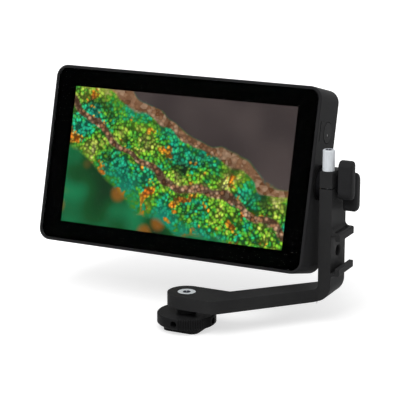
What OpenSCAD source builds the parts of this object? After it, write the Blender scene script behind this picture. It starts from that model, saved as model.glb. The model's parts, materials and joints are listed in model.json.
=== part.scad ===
// Camera field monitor on a tilting shoe-mount arm.
// The origin is the middle of the shoe foot's underside, with Z up.
// The screen looks towards -Y and leans back about the tilt axis, which runs along X.

/* [Picture and housing] */
// Width of the lit picture
picture_w = 121.8; // [100:0.1:128]
// Height of the lit picture
picture_h = 68.5; // [56:0.1:73]
// Width of the housing
housing_w = 145.1; // [140:0.1:170]
// Height of the housing
housing_h = 89.2; // [86:0.1:110]
// Depth of the housing from the glass to the back
housing_d = 24; // [20:0.5:32]
// Radius of the housing's four corners, seen from the front
housing_r = 6.1; // [4:0.1:8]
// Wall of the housing
wall = 1.8; // [1.4:0.1:2.2]
// Rim of the frame that shows round the glass
rim_w = 1.4; // [1:0.1:2.5]
// Rounding of the frame's front edge
front_edge = 0.5; // [0.2:0.1:0.9]
// Rounding of the cover's back edge
back_edge = 1.2; // [1:0.1:3]
// Depth of the front frame, as far as the joint with the rear cover
frame_d = 5.4; // [5.4:0.1:6]
// How far the screen leans back from upright, in degrees
lean = 15; // [0:1:30]

/* [Display stack] */
// Thickness of the cover glass
glass_t = 1.1; // [0.7:0.1:1.4]
// Thickness of the tape under the glass
tape_t = 0.4; // [0.2:0.1:0.6]
// Width of the ledge that the glass is taped to
ledge_w = 4; // [3:0.1:4.5]
// Thickness of that ledge
ledge_t = 1.4; // [1:0.1:1.6]
// Edge of the panel beyond the picture
panel_edge = 2.1; // [1:0.1:3]
// Thickness of the panel
panel_t = 1.4; // [1:0.1:1.7]
// Thickness of the backlight
backlight_t = 2.2; // [1.8:0.1:2.4]
// Thickness of the steel tray behind the backlight
tray_t = 0.6; // [0.4:0.1:0.8]

/* [Electronics] */
// Height of the posts between the tray and the main board
post_h = 3.2; // [2.6:0.1:3.6]
// Thickness of the circuit boards
board_t = 1.6; // [1:0.1:1.8]
// Height of the main board
board_h = 66; // [60:1:68]
// Height of the chips on the main board
chip_t = 1.3; // [0.8:0.1:1.6]
// Thickness of the heat spreader
spreader_t = 1.6; // [1:0.1:2]
// Width of the heat spreader
spreader_w = 56; // [40:1:70]
// Height of the heat spreader
spreader_h = 38; // [30:1:44]

/* [Power button] */
// Radius of the button's cap
button_r = 5; // [4:0.1:5.6]
// Height of the button above the middle of the screen
button_v = 23.8; // [20:0.1:26]
// Depth of the button's centre behind the glass
button_d = 12.8; // [11.5:0.1:14]
// Travel of the button
button_travel = 0.6; // [0.3:0.1:0.8]
// Length of the thin slot in the frame's side, in front of the button
slot_l = 9.7; // [6:0.1:12]
// Width of that slot
slot_w = 0.8; // [0.5:0.1:1]

/* [Battery plate] */
// Width of the battery that slides onto the plate
battery_w = 38.4; // [36:0.1:40]
// Height of the recess in the cover's back
recess_h = 74; // [70:0.5:76]
// Depth of the recess
recess_d = 4.5; // [4:0.1:4.8]
// Thickness of the battery plate
plate_t = 2; // [1.6:0.1:2.2]
// Thickness of each rail of the plate
rail_t = 2; // [1.5:0.1:2.4]
// How far each rail's lip reaches over the battery's groove
lip_reach = 1; // [0.6:0.1:1.4]
// Thickness of the lip
lip_t = 0.9; // [0.6:0.1:1.1]
// Width of the latch
latch_w = 8.4; // [6:0.1:10]
// Height of the latch
latch_h = 4.4; // [3.8:0.1:6]
// Travel of the latch into the plate
latch_travel = 1.6; // [1:0.1:1.6]

/* [Arm] */
// From the foot's axis to the upright's inner face
reach_x = 54.3; // [50:0.1:80]
// From the foot's axis back to the tilt axis
reach_y = 40.25; // [30:0.25:50]
// Height of the tilt axis above the foot's underside
axis_h = 67.8; // [66.4:0.1:90]
// Thickness of the arm's bar
bar_t = 6.4; // [5.6:0.1:8]
// Width of the arm's bar
bar_w = 18.6; // [17.8:0.1:22]
// Outer radius of the elbow
elbow_r = 8.4; // [7:0.1:12]
// Where the arm turns away from the foot, from the foot's axis
turn_x = 18.4; // [16:0.1:22]
// Rounding of that turn's outer corner
turn_r = 8; // [4:0.5:9]
// Metal above the tilt axis
head_h = 7.8; // [7:0.1:9]
// Rounding of the head's rear corner
head_r = 7.4; // [3:0.1:7.5]
// Width of the slit that the tension screw pulls together
slit_w = 0.5; // [0.3:0.1:0.8]
// Drop of the slit below the tilt axis
slit_drop = 0.4; // [0:0.1:1]
// Gap between the housing and the upright
side_gap = 3.5; // [3.4:0.1:5]

/* [Tilt joint] */
// Depth of the tilt axis behind the glass
axis_d = 10.6; // [10.4:0.1:11]
// Drop of the tilt axis below the middle of the screen
axis_drop = 0.2; // [0:0.1:2]
// Radius of the hollow spindle
spindle_r = 3.5; // [3.3:0.05:3.6]
// Radius of the spindle's flange
flange_r = 7.6; // [6:0.1:9]
// Thickness of the pad between the housing and the flange
pad_t = 0.8; // [0.5:0.1:1]
// Thickness of the washer between the flange and the upright
washer_t = 0.4; // [0.2:0.1:0.6]
// Radius of the knob's screw at the root of its thread
screw_r = 2.5; // [2.2:0.05:2.55]
// Radius of the tension screw's shank
tension_r = 1.5; // [1.2:0.05:1.6]
// Radius of the tension screw's head
tension_head_r = 2.9; // [2.8:0.05:3.1]
// Height of the tension screw's head
tension_head_h = 10.2; // [8:0.1:14]
// How far the tension screw's centre lies behind the arm's front face
tension_y = 3.15; // [3.1:0.05:3.3]
// Height of each lobe of the wing knob
lobe_h = 19; // [16:0.1:22]
// How far each lobe reaches out from the knob's axis, along the arm's width
lobe_w = 6.9; // [5:0.1:7]
// How far each lobe's middle is set up or down from the axis
lobe_shift = 3.4; // [2:0.1:5]
// Thickness of the knob
knob_t = 6.8; // [5:0.1:9]
// Rounding of each lobe's corners, seen along the axis
lobe_r = 2.8; // [1.6:0.1:2.8]
// Rounding of the knob's outer edges
knob_edge = 1.2; // [0.6:0.1:1.5]

/* [Accessory shoe on the upright] */
// Height of the accessory shoe's middle above the foot's underside
shoe_z = 35.7; // [34.4:0.1:38]
// Width of the channel, under its lips
channel_w = 18.6; // [18.5:0.1:18.8]
// Gap between the lips
lip_gap = 13.4; // [12.5:0.1:14]
// Depth of the channel under its lips
channel_d = 2.2; // [2.1:0.1:2.4]
// Thickness of the lips
shoe_lip_t = 2.2; // [1.5:0.1:2.6]
// Wall of the channel above and below
shoe_wall = 1.1; // [0.9:0.1:1.6]
// Radius of the quarter-inch threaded holes, at the root of the thread
thread_r = 2.55; // [2.5:0.01:2.7]

/* [Shoe foot] */
// Side of the square foot plate
foot_w = 18.2; // [17.8:0.1:18.5]
// Thickness of the foot plate
foot_t = 2; // [1.5:0.1:2.1]
// Rounding of the foot plate's corners
foot_r = 3.6; // [1:0.1:4]
// Radius of the foot's threaded stud
stud_r = 4.6; // [4.2:0.1:5]
// Width across the stud's two flats
stud_flats = 8.2; // [7.8:0.1:8.4]
// Radius of the lock ring
ring_r = 14.2; // [12:0.1:16]
// Height of the lock ring
ring_h = 5.1; // [4.5:0.1:6]
// How far the lock ring can be screwed up
ring_lift = 2.6; // [2:0.1:4]
// Thickness of the pad under the ring
ring_pad_t = 0.85; // [0.3:0.05:1]
// Radius of the holes in the ring's side
tommy_r = 1.6; // [1:0.1:1.8]
// Depth of the ring's grip grooves
groove_d = 0.45; // [0.2:0.05:0.6]
// Angle from one grip groove to the next, in degrees
groove_step = 4.8; // [3:0.1:6]
// Radius of the pivot screw's head
pivot_head_r = 4.4; // [4:0.05:5]
// Radius of the pivot screw's shank
pivot_r = 2.5; // [2:0.05:2.6]

/* [Hidden] */
$fn = 64;
run = 0.05;        // radial clearance of a shaft in its bore
loose = 0.3;       // clearance between pieces that pass each other
seat = 0.05;       // gap between flat faces that slide on each other
over = 1;          // how far a cut runs past a face
crisp = 0.01;      // rounding of an edge that is left sharp
bond = 0.1;        // how far two lumps of one piece run into each other

housing_color = "#2d2d2f";
metal_color = "#29292b";
silver_color = "#c8ccd2";
board_color = "#1f5136";
black_color = "#0a0a0b";

// Depths behind the front of the glass
ledge_d0 = glass_t + tape_t;
ledge_d1 = ledge_d0 + ledge_t;
panel_d1 = glass_t + panel_t;
light_d1 = panel_d1 + backlight_t;
tray_d1 = light_d1 + tray_t;
board_d0 = tray_d1 + post_h;
board_d1 = board_d0 + board_t;
chip_d1 = board_d1 + chip_t;
spreader_d1 = chip_d1 + spreader_t;
recess_d0 = housing_d - recess_d;
plate_d1 = recess_d0 + plate_t;
inner_back = housing_d - wall;

// Sizes across the screen
inner_w = housing_w - 2 * wall;
inner_h = housing_h - 2 * wall;
pocket_w = housing_w - 2 * rim_w;
pocket_h = housing_h - 2 * rim_w;
pocket_r = housing_r - rim_w;
glass_gap = 0.1;
window_w = pocket_w - 2 * ledge_w;
window_h = pocket_h - 2 * ledge_w;
panel_w = picture_w + 2 * panel_edge;
panel_h = picture_h + 2 * panel_edge;
light_lap = 0.4;
tray_gap = 1.6;
tray_w = inner_w - 2 * tray_gap;
tray_h = inner_h - 2 * tray_gap;
tray_r = 3;
tape_in = 0.5;
window_r = pocket_r - ledge_w / 2;
slot_back = 0.2;
slot_depth = 1;

// Screws that hold the cover, the tray and the board
post_r = 2.4;
boss_r = 3;
boss_in = 4.7;
boss_x = inner_w / 2 - boss_in;
boss_v = inner_h / 2 - boss_in;
case_screw_r = 1.25;
case_head_r = 2.1;
case_head_h = 1.6;
head_sink = 0.4;
case_screw_d0 = ledge_d0 + 0.9;
small_screw_r = 0.9;
small_head_r = 1.7;
small_head_h = 0.9;
cross_w = 0.3;     // width and length of a screw's cross, and its depth, as shares of the head
cross_l = 1.2;
cross_depth = 0.6;
screw_tip = 0.2;   // room beyond the tip of a housing screw

// Main board, which reaches from the sockets' wall to short of the arm's insert
insert_r = 4.4;
insert_l = 10;
insert_wall = 0.8;
insert_floor = 2;
insert_chamfer = 0.4;
boss_floor = 1;
board_gap = 1.5;
board_x0 = -inner_w / 2 + board_gap;
board_x1 = inner_w / 2 - insert_l + wall - 2 * board_gap;
board_notch = insert_r + insert_wall + 2 * loose;
socket_zone = 22;
board_screw_in = 5;
board_screws_x = [board_x0 + socket_zone, board_x1 - board_screw_in];
board_screws_v = board_h / 2 - board_screw_in;
post_out_r = 2;
chips = [[0, 4, 18, 18], [-19, 8, 10, 12], [-19, -7, 10, 12], [18, 6, 9, 9], [18, -8, 11, 8]];
fin_step = 4;
fin_gap = 1.2;
fin_margin = 6;
spreader_r = 2;

// Flat cable from the panel's lower edge to the board's front
cable_x = 28;
cable_w = 20;
cable_t = 0.3;
cable_slack = 1.9;
cable_slit = 1.8;
connector_in = 10;
connector_v = -board_h / 2 + connector_in;
connector_t = 1.4;
connector_half = 2;
connector_side = 2;
connector_mouth = 0.2;
connector_floor = 0.45;
cable_v = -panel_h / 2 - cable_slack;

// Sockets in the left wall, and the headphone socket in the base
hdmi_h = 15;
hdmi_t = 5.6;
hdmi_l = 12;
shell_skin = 0.55;
hdmi_tongue_t = 1.2;
socket_back = 1.5;
tongue_in = 1;
tongue_share = 0.33;
jack_r = 4;
jack_bore_r = 2.8;
jack_pin_r = 1;
jack_l = 12;
headphone_r = 2.9;
headphone_bore_r = 1.8;
headphone_l = 13;
headphone_x = -45;
usb_h = 8.2;
usb_t = 3.4;
usb_l = 8;
usb_tongue_t = 0.7;
socket_clear = 0.25;
hdmi_v = 17;
jack_v = boss_v - boss_r - socket_clear - jack_r - 0.2;
usb_v = -boss_v + boss_r + socket_clear + usb_h / 2 + 0.2;
socket_sink = 0.4;
socket_face = housing_w / 2 - socket_sink;
headphone_face = housing_h / 2 - socket_sink;

// Power button
button_proud = 0.1;
cap_hole_r = button_r + loose;
button_flange_r = button_r + 1;
button_flange_t = 0.9;
button_flats = button_r + loose;
button_in = inner_w / 2 - loose - button_flange_t;
stem_r = 1.2;
stem_l = 1.4;
stem_gap = 0.2;
switch_tip = button_in - stem_l - button_travel - stem_gap;
switch_t = 2.4;
switch_w = 6;
plunger_r = 1.6;
plunger_t = 0.6;
lens_r = 0.7;
lens_l = 1.2;
lens_drop = 1.2;
button_board_h = 16;
button_board_d = 9;

// Battery plate
plate_w = battery_w + 2 * rail_t + 2 * loose;
recess_gap = 0.3;
recess_w = plate_w + 2 * recess_gap;
plate_h = recess_h - 2 * recess_gap;
stop_h = 3.4;
rail_short = 6;
rail_l = plate_h - stop_h - rail_short;
plate_r = 1;
plate_screw_x = battery_w / 2 - 3;
plate_screw_in = 12;
plate_screw_v = plate_h / 2 - plate_screw_in;
head_gap = 0.2;
rib_half_l = 8;
rib_step = 4;
rib_half_w = 0.6;
rib_deep = 0.5;
latch_in = 5.5;
latch_v = -plate_h / 2 + latch_in;
latch_flange = 1;
latch_flange_t = 1;
latch_d0 = recess_d0 - loose - latch_flange_t;
latch_proud = 1.9;
latch_roof = 1;
latch_ramp = 1.2;
well_d0 = latch_d0 - latch_travel - 0.5;
well_wall = 1;
well_w = latch_w + 2 * latch_flange + 2 * loose;
well_h = latch_h + 2 * latch_flange + 2 * loose;
base_insert_l = housing_h / 2 + latch_v - well_h / 2 - well_wall;   // as far as the latch's well
spring_r = 1.4;
spring_wire = 0.4;
spring_gap = 0.2;
contact_x = [-11, 0, 11];
contact_l = 4.2;
contact_half = 0.4;
contact_gap = 0.1;
contact_in = 0.7;
lead_in = 7.5;
lead_v = plate_h / 2 - lead_in;
lead_r = 0.6;
lead_hole_r = 0.75;
lead_pass_r = 1.1;

// Vents: slots on the back at each side of the battery, and a row in the top
vent_x = 47;
vent_l = 22;
vent_w = 1.8;
vent_step = 5;
vent_rows = 3;
vent_r = vent_w / 2 - crisp;
top_vent_l = 5;
top_vent_d = housing_d - 5;
top_vent_step = 7;
top_vent_cols = 4;

// Arm
ring_top_gap = 0.9;
bar_z = foot_t + seat + ring_pad_t + ring_h + ring_lift + ring_top_gap;
bar_top = bar_z + bar_t;
upright_x1 = reach_x + bar_t;
front_y = reach_y - bar_w / 2;
rear_y = reach_y + bar_w / 2;
head_top = axis_h + head_h;
turn_a = atan2(reach_y, reach_x - turn_x);
turn_cut = turn_r * tan(turn_a / 2);
turn_steps = 12;
rear_lead = 2;
screen_x = reach_x - side_gap - housing_w / 2;

// Tilt joint
flange_t = side_gap - pad_t - washer_t - 2 * seat;
spindle_end = upright_x1 + 1.5;
clip_t = 0.6;
clip_x = upright_x1 + 0.15;
clip_groove = 0.4;
clip_out = 1.2;
clip_mouth = 1.6;
pad_out = 0.8;
knob_gap = 0.2;
knob_x = spindle_end + knob_gap;
knob_roof = 1.4;
knob_bore_l = knob_t - knob_roof;
knob_lap = 0.2;
knob_hub_r = 4.2;
knob_hub_sink = 0.6;
screw_end_gap = 1;
tension_x = reach_x + bar_t / 2;
tension_yc = front_y + tension_y;
tension_l = 17;
tension_clear = 0.25;
tension_tip_gap = 1;
tension_chamfer = 0.4;
tension_hex_r = 1.75;
tension_hex_h = 3;

// Accessory shoe
shoe_out = channel_d + shoe_lip_t;
shoe_half = channel_w / 2 + shoe_wall;
shoe_edge = 0.9;
root_r = 2.2;
relief_w = 1.2;
relief_in = 1.9;
thread_chamfer = 0.5;

// Shoe foot
stud_z = foot_t;
stud_floor = 1;
pivot_washer_t = 0.5;
stud_top = bar_z - seat - pivot_washer_t;
pivot_washer_r = 5.4;
pivot_start = 4;
pivot_sink = 0.1;
csk_sink = 0.15;
pivot_hex_r = 2.25;
pivot_hex_h = 2.6;
ring_z = foot_t + seat + ring_pad_t;
ring_pad_r = 8.6;
spigot_r = 3;
csk_h = pivot_head_r - pivot_r;
tommy_holes = 4;
tommy_sector = 360 / tommy_holes;
tommy_margin = 11;
tommy_depth = 4;
grip_starts = [-90, 90];   // the two sectors between the holes that have grip grooves
ring_edge = 0.5;

// ---------------------------------------------------------------- helpers

// Puts a piece of the monitor in place: x to the right, y back from the glass, z up the screen
module on_monitor() {
    translate([screen_x, reach_y, axis_h])
        rotate([-lean, 0, 0])
            translate([0, -axis_d, axis_drop]) children();
}

// Extrudes an outline drawn on the screen from depth d0 to depth d1
module layer(d0, d1) {
    rotate([90, 0, 0]) translate([0, 0, -d1]) linear_extrude(d1 - d0) children();
}

// Rectangle w by h with round corners of radius r
module round_rect(w, h, r) {
    square([w - 2 * r, h], center = true);
    square([w, h - 2 * r], center = true);
    for (x = [-1, 1], y = [-1, 1])
        translate([x * (w / 2 - r), y * (h / 2 - r)]) circle(r);
}

// Section of a slab's edge: r wide, d deep, front corner rounded by ef and back corner by eb
module edge_section(r, d, ef, eb) {
    square([r - eb, eb]);
    translate([0, eb]) square([r, d - ef - eb]);
    translate([0, d - ef]) square([r - ef, ef]);
    translate([r - eb, eb]) circle(eb);
    translate([r - ef, d - ef]) circle(ef);
}

// Slab w by h and d deep with corners of radius r, its front at depth d0
module soft_slab(w, h, d0, d, r, ef, eb) {
    half_w = w / 2 - r;
    half_h = h / 2 - r;
    rotate([90, 0, 0]) translate([0, 0, -d0 - d]) {
        translate([-half_w, -half_h, 0]) cube([2 * half_w, 2 * half_h, d]);
        for (x = [-1, 1], y = [-1, 1])
            translate([x * half_w, y * half_h, 0]) rotate_extrude() edge_section(r, d, ef, eb);
        for (side = [0, 180]) rotate(side) {
            translate([half_w, half_h, 0]) rotate([90, 0, 0])
                linear_extrude(2 * half_h) edge_section(r, d, ef, eb);
            translate([-half_w, half_h, 0]) rotate([90, 0, 90])
                linear_extrude(2 * half_w) edge_section(r, d, ef, eb);
        }
    }
}

// Rod of radius r between depths d0 and d1, on the screen at x, v
module rod(x, v, r, d0, d1) {
    layer(d0, d1) translate([x, v]) circle(r);
}

// Rod of radius r along x, at depth d and height v
module cross_rod(x0, x1, d, v, r) {
    translate([x0, d, v]) rotate([0, 90, 0]) cylinder(r = r, h = x1 - x0);
}

// Box with corners at opposite ends, in x, depth and height
module block(x0, x1, d0, d1, v0, v1) {
    translate([x0, d0, v0]) cube([x1 - x0, d1 - d0, v1 - v0]);
}

// Screw whose head faces back at depth d1; its shank ends at depth d0
module back_screw(x, v, d0, d1, r, head_r, head_h) {
    difference() {
        union() {
            rod(x, v, r, d0, d1 - head_h / 2);
            rod(x, v, head_r, d1 - head_h, d1);
        }
        layer(d1 - head_h * cross_depth, d1 + over) translate([x, v])
            for (a = [0, 90]) rotate(a) square([head_r * cross_l, head_r * cross_w], center = true);
    }
}

// ---------------------------------------------------------------- housing and display

module front_frame() {
    color(housing_color) on_monitor() difference() {
        union() {
            difference() {
                soft_slab(housing_w, housing_h, 0, frame_d, housing_r, front_edge, crisp);
                layer(-over, ledge_d0) round_rect(pocket_w, pocket_h, pocket_r);
                layer(0, ledge_d1 + over) round_rect(window_w, window_h, window_r);
                layer(ledge_d1, frame_d + over) round_rect(inner_w, inner_h, housing_r - wall);
            }
            for (x = [-1, 1], v = [-1, 1])
                rod(x * boss_x, v * boss_v, post_r, ledge_d1 - ledge_t / 2, light_d1);
        }
        for (x = [-1, 1], v = [-1, 1])
            rod(x * boss_x, v * boss_v, case_screw_r + run, case_screw_d0 - screw_tip, light_d1 + over);
        translate([housing_w / 2 - slot_depth, ledge_d1 - slot_w / 2 + slot_back, button_v - slot_l / 2])
            cube([slot_depth + over, slot_w, slot_l]);
    }
}

module cover_glass() {
    color(black_color) on_monitor() layer(0, glass_t)
        round_rect(pocket_w - 2 * glass_gap, pocket_h - 2 * glass_gap, pocket_r - glass_gap);
}

module glass_tape() {
    color("black") on_monitor() layer(glass_t, ledge_d0) difference() {
        round_rect(pocket_w - 2 * tape_in, pocket_h - 2 * tape_in, pocket_r - tape_in);
        round_rect(window_w, window_h, window_r);
    }
}

module lcd_panel() {
    color("#12161a") on_monitor() layer(glass_t, panel_d1) square([panel_w, panel_h], center = true);
}

module backlight() {
    color("white") on_monitor() layer(panel_d1, light_d1)
        square([panel_w + 2 * light_lap, panel_h + 2 * light_lap], center = true);
}

module panel_tray() {
    color("silver") on_monitor() difference() {
        layer(light_d1, tray_d1) round_rect(tray_w, tray_h, tray_r);
        for (x = [-1, 1], v = [-1, 1])
            rod(x * boss_x, v * boss_v, case_screw_r + loose, light_d1 - over, tray_d1 + over);
        for (x = board_screws_x, v = [-1, 1])
            rod(x, v * board_screws_v, small_screw_r + run, light_d1 - over, tray_d1 + over);
        layer(light_d1 - over, tray_d1 + over)
            translate([cable_x, cable_v + cable_t / 2]) square([cable_w + 2, cable_slit], center = true);
    }
}

module tray_screws() {
    color("silver") on_monitor()
        for (x = board_screws_x, v = [-1, 1])
            rod(x, v * board_screws_v, small_screw_r, light_d1, tray_d1 + post_h / 3);
}

// ---------------------------------------------------------------- electronics

module main_board() {
    color(board_color) on_monitor() difference() {
        layer(board_d0, board_d1) difference() {
            translate([(board_x0 + board_x1) / 2, 0]) square([board_x1 - board_x0, board_h], center = true);
            translate([-housing_w / 2, -axis_drop - board_notch])
                square([insert_l + loose, 2 * board_notch]);
            translate([-board_notch, -housing_h / 2])
                square([2 * board_notch, base_insert_l + loose]);
        }
        for (x = board_screws_x, v = [-1, 1])
            rod(x, v * board_screws_v, small_screw_r + run, board_d0 - over, board_d1 + over);
    }
}

module board_posts() {
    color("gold") on_monitor() for (x = board_screws_x, v = [-1, 1]) difference() {
        rod(x, v * board_screws_v, post_out_r, tray_d1, board_d0);
        rod(x, v * board_screws_v, small_screw_r + run, tray_d1 - over, board_d0 + over);
    }
}

module board_screws() {
    color("silver") on_monitor() for (x = board_screws_x, v = [-1, 1])
        back_screw(x, v * board_screws_v, board_d0 - post_h / 2, board_d1 + small_head_h,
                   small_screw_r, small_head_r, small_head_h);
}

module board_chips() {
    color("#202020") on_monitor() layer(board_d1, chip_d1)
        for (c = chips) translate([c[0], c[1]]) square([c[2], c[3]], center = true);
}

module heat_spreader() {
    color("silver") on_monitor() difference() {
        layer(chip_d1, spreader_d1) round_rect(spreader_w, spreader_h, spreader_r);
        for (x = [-spreader_w / 2 + fin_margin : fin_step : spreader_w / 2 - fin_margin])
            block(x - fin_gap / 2, x + fin_gap / 2, spreader_d1 - spreader_t / 2, spreader_d1 + over,
                  -spreader_h / 2 - over, spreader_h / 2 + over);
    }
}

module display_connector() {
    color("#e8e2cf") on_monitor() difference() {
        block(cable_x - cable_w / 2 - connector_side, cable_x + cable_w / 2 + connector_side,
              board_d0 - connector_t, board_d0,
              connector_v - connector_half, connector_v + connector_half);
        block(cable_x - cable_w / 2 - connector_mouth, cable_x + cable_w / 2 + connector_mouth,
              board_d0 - connector_floor - cable_t - connector_mouth, board_d0 - connector_floor,
              connector_v - connector_half - over, connector_v + connector_half / 2);
    }
}

module display_cable() {
    end_d = board_d0 - connector_floor - connector_mouth / 2;
    start_d = glass_t + panel_t / 2;
    color("#8a4b12") on_monitor() translate([cable_x - cable_w / 2, 0, 0]) {
        block(0, cable_w, start_d, start_d + cable_t, cable_v, -panel_h / 2);
        block(0, cable_w, start_d, end_d, cable_v, cable_v + cable_t);
        block(0, cable_w, end_d - cable_t, end_d,
              cable_v, connector_v + connector_half / 2 - connector_mouth);
    }
}

// Socket with a metal shell round a tongue, its mouth in the left wall
module shell_socket(v, h, t, l, tongue) {
    d0 = board_d1;
    mid = d0 + t / 2;
    difference() {
        block(-socket_face, -socket_face + l, d0, d0 + t, v - h / 2, v + h / 2);
        block(-socket_face - over, -socket_face + l - socket_back, d0 + shell_skin, d0 + t - shell_skin,
              v - h / 2 + shell_skin, v + h / 2 - shell_skin);
    }
    block(-socket_face + tongue_in, -socket_face + l - socket_back + bond,
          mid - tongue / 2, mid + tongue / 2, v - h * tongue_share, v + h * tongue_share);
}

module hdmi_in_socket() {
    color("silver") on_monitor() shell_socket(hdmi_v, hdmi_h, hdmi_t, hdmi_l, hdmi_tongue_t);
}

module hdmi_out_socket() {
    color("silver") on_monitor() shell_socket(-hdmi_v, hdmi_h, hdmi_t, hdmi_l, hdmi_tongue_t);
}

module usb_socket() {
    color("silver") on_monitor() shell_socket(usb_v, usb_h, usb_t, usb_l, usb_tongue_t);
}

module power_jack() {
    d = board_d1 + jack_r;
    bottom = -socket_face + jack_l - socket_back;
    color("#151515") on_monitor() {
        difference() {
            cross_rod(-socket_face, -socket_face + jack_l, d, jack_v, jack_r);
            cross_rod(-socket_face - over, bottom, d, jack_v, jack_bore_r);
        }
        cross_rod(-socket_face + tongue_in, bottom + bond, d, jack_v, jack_pin_r);
    }
}

module headphone_socket() {
    color("#151515") on_monitor()
        translate([headphone_x, board_d1 + headphone_r, -headphone_face]) difference() {
            cylinder(r = headphone_r, h = headphone_l);
            translate([0, 0, -over]) cylinder(r = headphone_bore_r, h = headphone_l - socket_back + over);
        }
}

// ---------------------------------------------------------------- rear cover

// Mouth in the left wall for a flat socket
module flat_mouth(v, h, t) {
    block(-housing_w / 2 - over, -inner_w / 2 + over, board_d1 - socket_clear, board_d1 + t + socket_clear,
          v - h / 2 - socket_clear, v + h / 2 + socket_clear);
}

// Bosses that stand inside the cover
module cover_bosses() {
    for (x = [-1, 1], v = [-1, 1])
        rod(x * boss_x, v * boss_v, boss_r, tray_d1, inner_back + wall / 2);
    block(-recess_w / 2 - wall, recess_w / 2 + wall, recess_d0 - wall, inner_back + wall / 2,
          -recess_h / 2 - wall, recess_h / 2 + wall);
    block(-well_w / 2 - well_wall, well_w / 2 + well_wall, well_d0 - well_wall, recess_d0 - wall / 2,
          latch_v - well_h / 2 - well_wall, latch_v + well_h / 2 + well_wall);
    for (side = [-1, 1])
        mirror([side < 0 ? 1 : 0, 0, 0])
            cross_rod(housing_w / 2 - insert_l + boss_floor, inner_w / 2 + wall / 2, axis_d, -axis_drop,
                      insert_r + insert_wall);
    translate([0, axis_d, -inner_h / 2 - wall / 2])
        cylinder(r = insert_r + insert_wall, h = base_insert_l - wall / 2 - boss_floor);
}

// Holes and slots cut through the cover
module cover_cuts() {
    block(-recess_w / 2, recess_w / 2, recess_d0, housing_d + over, -recess_h / 2, recess_h / 2);
    block(-well_w / 2, well_w / 2, well_d0, recess_d0 + over,
          latch_v - well_h / 2, latch_v + well_h / 2);
    for (x = [-1, 1], v = [-1, 1]) {
        rod(x * boss_x, v * boss_v, case_screw_r + run, tray_d1 - over, housing_d + over);
        rod(x * boss_x, v * boss_v, case_head_r + socket_clear, housing_d - case_head_h - head_sink,
            housing_d + over);
        rod(x * plate_screw_x, v * plate_screw_v, small_screw_r + run, recess_d0 - wall - over,
            recess_d0 + over);
    }
    for (side = [-1, 1])
        mirror([side < 0 ? 1 : 0, 0, 0])
            cross_rod(housing_w / 2 - insert_l, housing_w / 2 + over, axis_d, -axis_drop, insert_r + run);
    translate([0, axis_d, -housing_h / 2 - over]) cylinder(r = insert_r + run, h = base_insert_l + over);
    cross_rod(inner_w / 2 - over, housing_w / 2 + over, button_d, button_v, cap_hole_r);
    flat_mouth(hdmi_v, hdmi_h, hdmi_t);
    flat_mouth(-hdmi_v, hdmi_h, hdmi_t);
    flat_mouth(usb_v, usb_h, usb_t);
    cross_rod(-housing_w / 2 - over, -inner_w / 2 + over, board_d1 + jack_r, jack_v, jack_r + socket_clear);
    translate([headphone_x, board_d1 + headphone_r, -housing_h / 2 - over])
        cylinder(r = headphone_r + socket_clear, h = wall + 2 * over);
    for (x = contact_x) rod(x, lead_v, lead_pass_r, recess_d0 - wall - over, recess_d0 + over);
    for (side = [-1, 1], row = [-vent_rows : vent_rows])
        layer(inner_back - over, housing_d + over)
            translate([side * vent_x, row * vent_step]) round_rect(vent_l, vent_w, vent_r);
    for (col = [-top_vent_cols : top_vent_cols])
        translate([col * top_vent_step, top_vent_d, inner_h / 2 - over])
            linear_extrude(wall + 2 * over) round_rect(vent_w, top_vent_l, vent_r);
}

module rear_cover() {
    color(housing_color) on_monitor() difference() {
        union() {
            difference() {
                soft_slab(housing_w, housing_h, frame_d, housing_d - frame_d, housing_r, crisp, back_edge);
                layer(frame_d - over, inner_back) round_rect(inner_w, inner_h, housing_r - wall);
            }
            cover_bosses();
        }
        cover_cuts();
    }
}

module housing_screws() {
    color("#1a1a1a") on_monitor() for (x = [-1, 1], v = [-1, 1])
        back_screw(x * boss_x, v * boss_v, case_screw_d0, housing_d - head_sink,
                   case_screw_r, case_head_r, case_head_h);
}

// Threaded insert of length l, its mouth at the far end
module insert_ring(l) {
    difference() {
        cylinder(r = insert_r, h = l);
        translate([0, 0, insert_floor]) cylinder(r = thread_r, h = l);
        translate([0, 0, l - insert_chamfer])
            cylinder(r1 = thread_r, r2 = thread_r + 2 * insert_chamfer, h = 2 * insert_chamfer);
    }
}

module arm_insert() {
    color("gold") on_monitor() translate([housing_w / 2 - insert_l, axis_d, -axis_drop])
        rotate([0, 90, 0]) insert_ring(insert_l);
}

module side_insert() {
    color("gold") on_monitor() translate([-housing_w / 2 + insert_l, axis_d, -axis_drop])
        rotate([0, -90, 0]) insert_ring(insert_l);
}

module base_insert() {
    color("gold") on_monitor() translate([0, axis_d, -housing_h / 2 + base_insert_l])
        rotate([180, 0, 0]) insert_ring(base_insert_l);
}

// ---------------------------------------------------------------- power button

module power_button() {
    color("#232325") on_monitor() difference() {
        union() {
            cross_rod(button_in, housing_w / 2 + button_proud, button_d, button_v, button_r);
            intersection() {
                cross_rod(button_in, button_in + button_flange_t, button_d, button_v, button_flange_r);
                block(button_in - over, housing_w / 2, button_d - button_flats, button_d + button_flats,
                      button_v - button_flange_r, button_v + button_flange_r);
            }
            cross_rod(button_in - stem_l, button_in + bond, button_d, button_v, stem_r);
        }
        cross_rod(housing_w / 2 - lens_l, housing_w / 2 + over, button_d, button_v - lens_drop, lens_r + run);
    }
}

module button_lens() {
    color("white") on_monitor()
        cross_rod(housing_w / 2 - lens_l, housing_w / 2 + button_proud,
                  button_d, button_v - lens_drop, lens_r);
}

module button_switch() {
    color("#303030") on_monitor() {
        block(switch_tip - switch_t, switch_tip - plunger_t,
              button_d - switch_w / 2, button_d + switch_w / 2,
              button_v - switch_w / 2, button_v + switch_w / 2);
        cross_rod(switch_tip - plunger_t - bond, switch_tip, button_d, button_v, plunger_r);
    }
}

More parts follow.
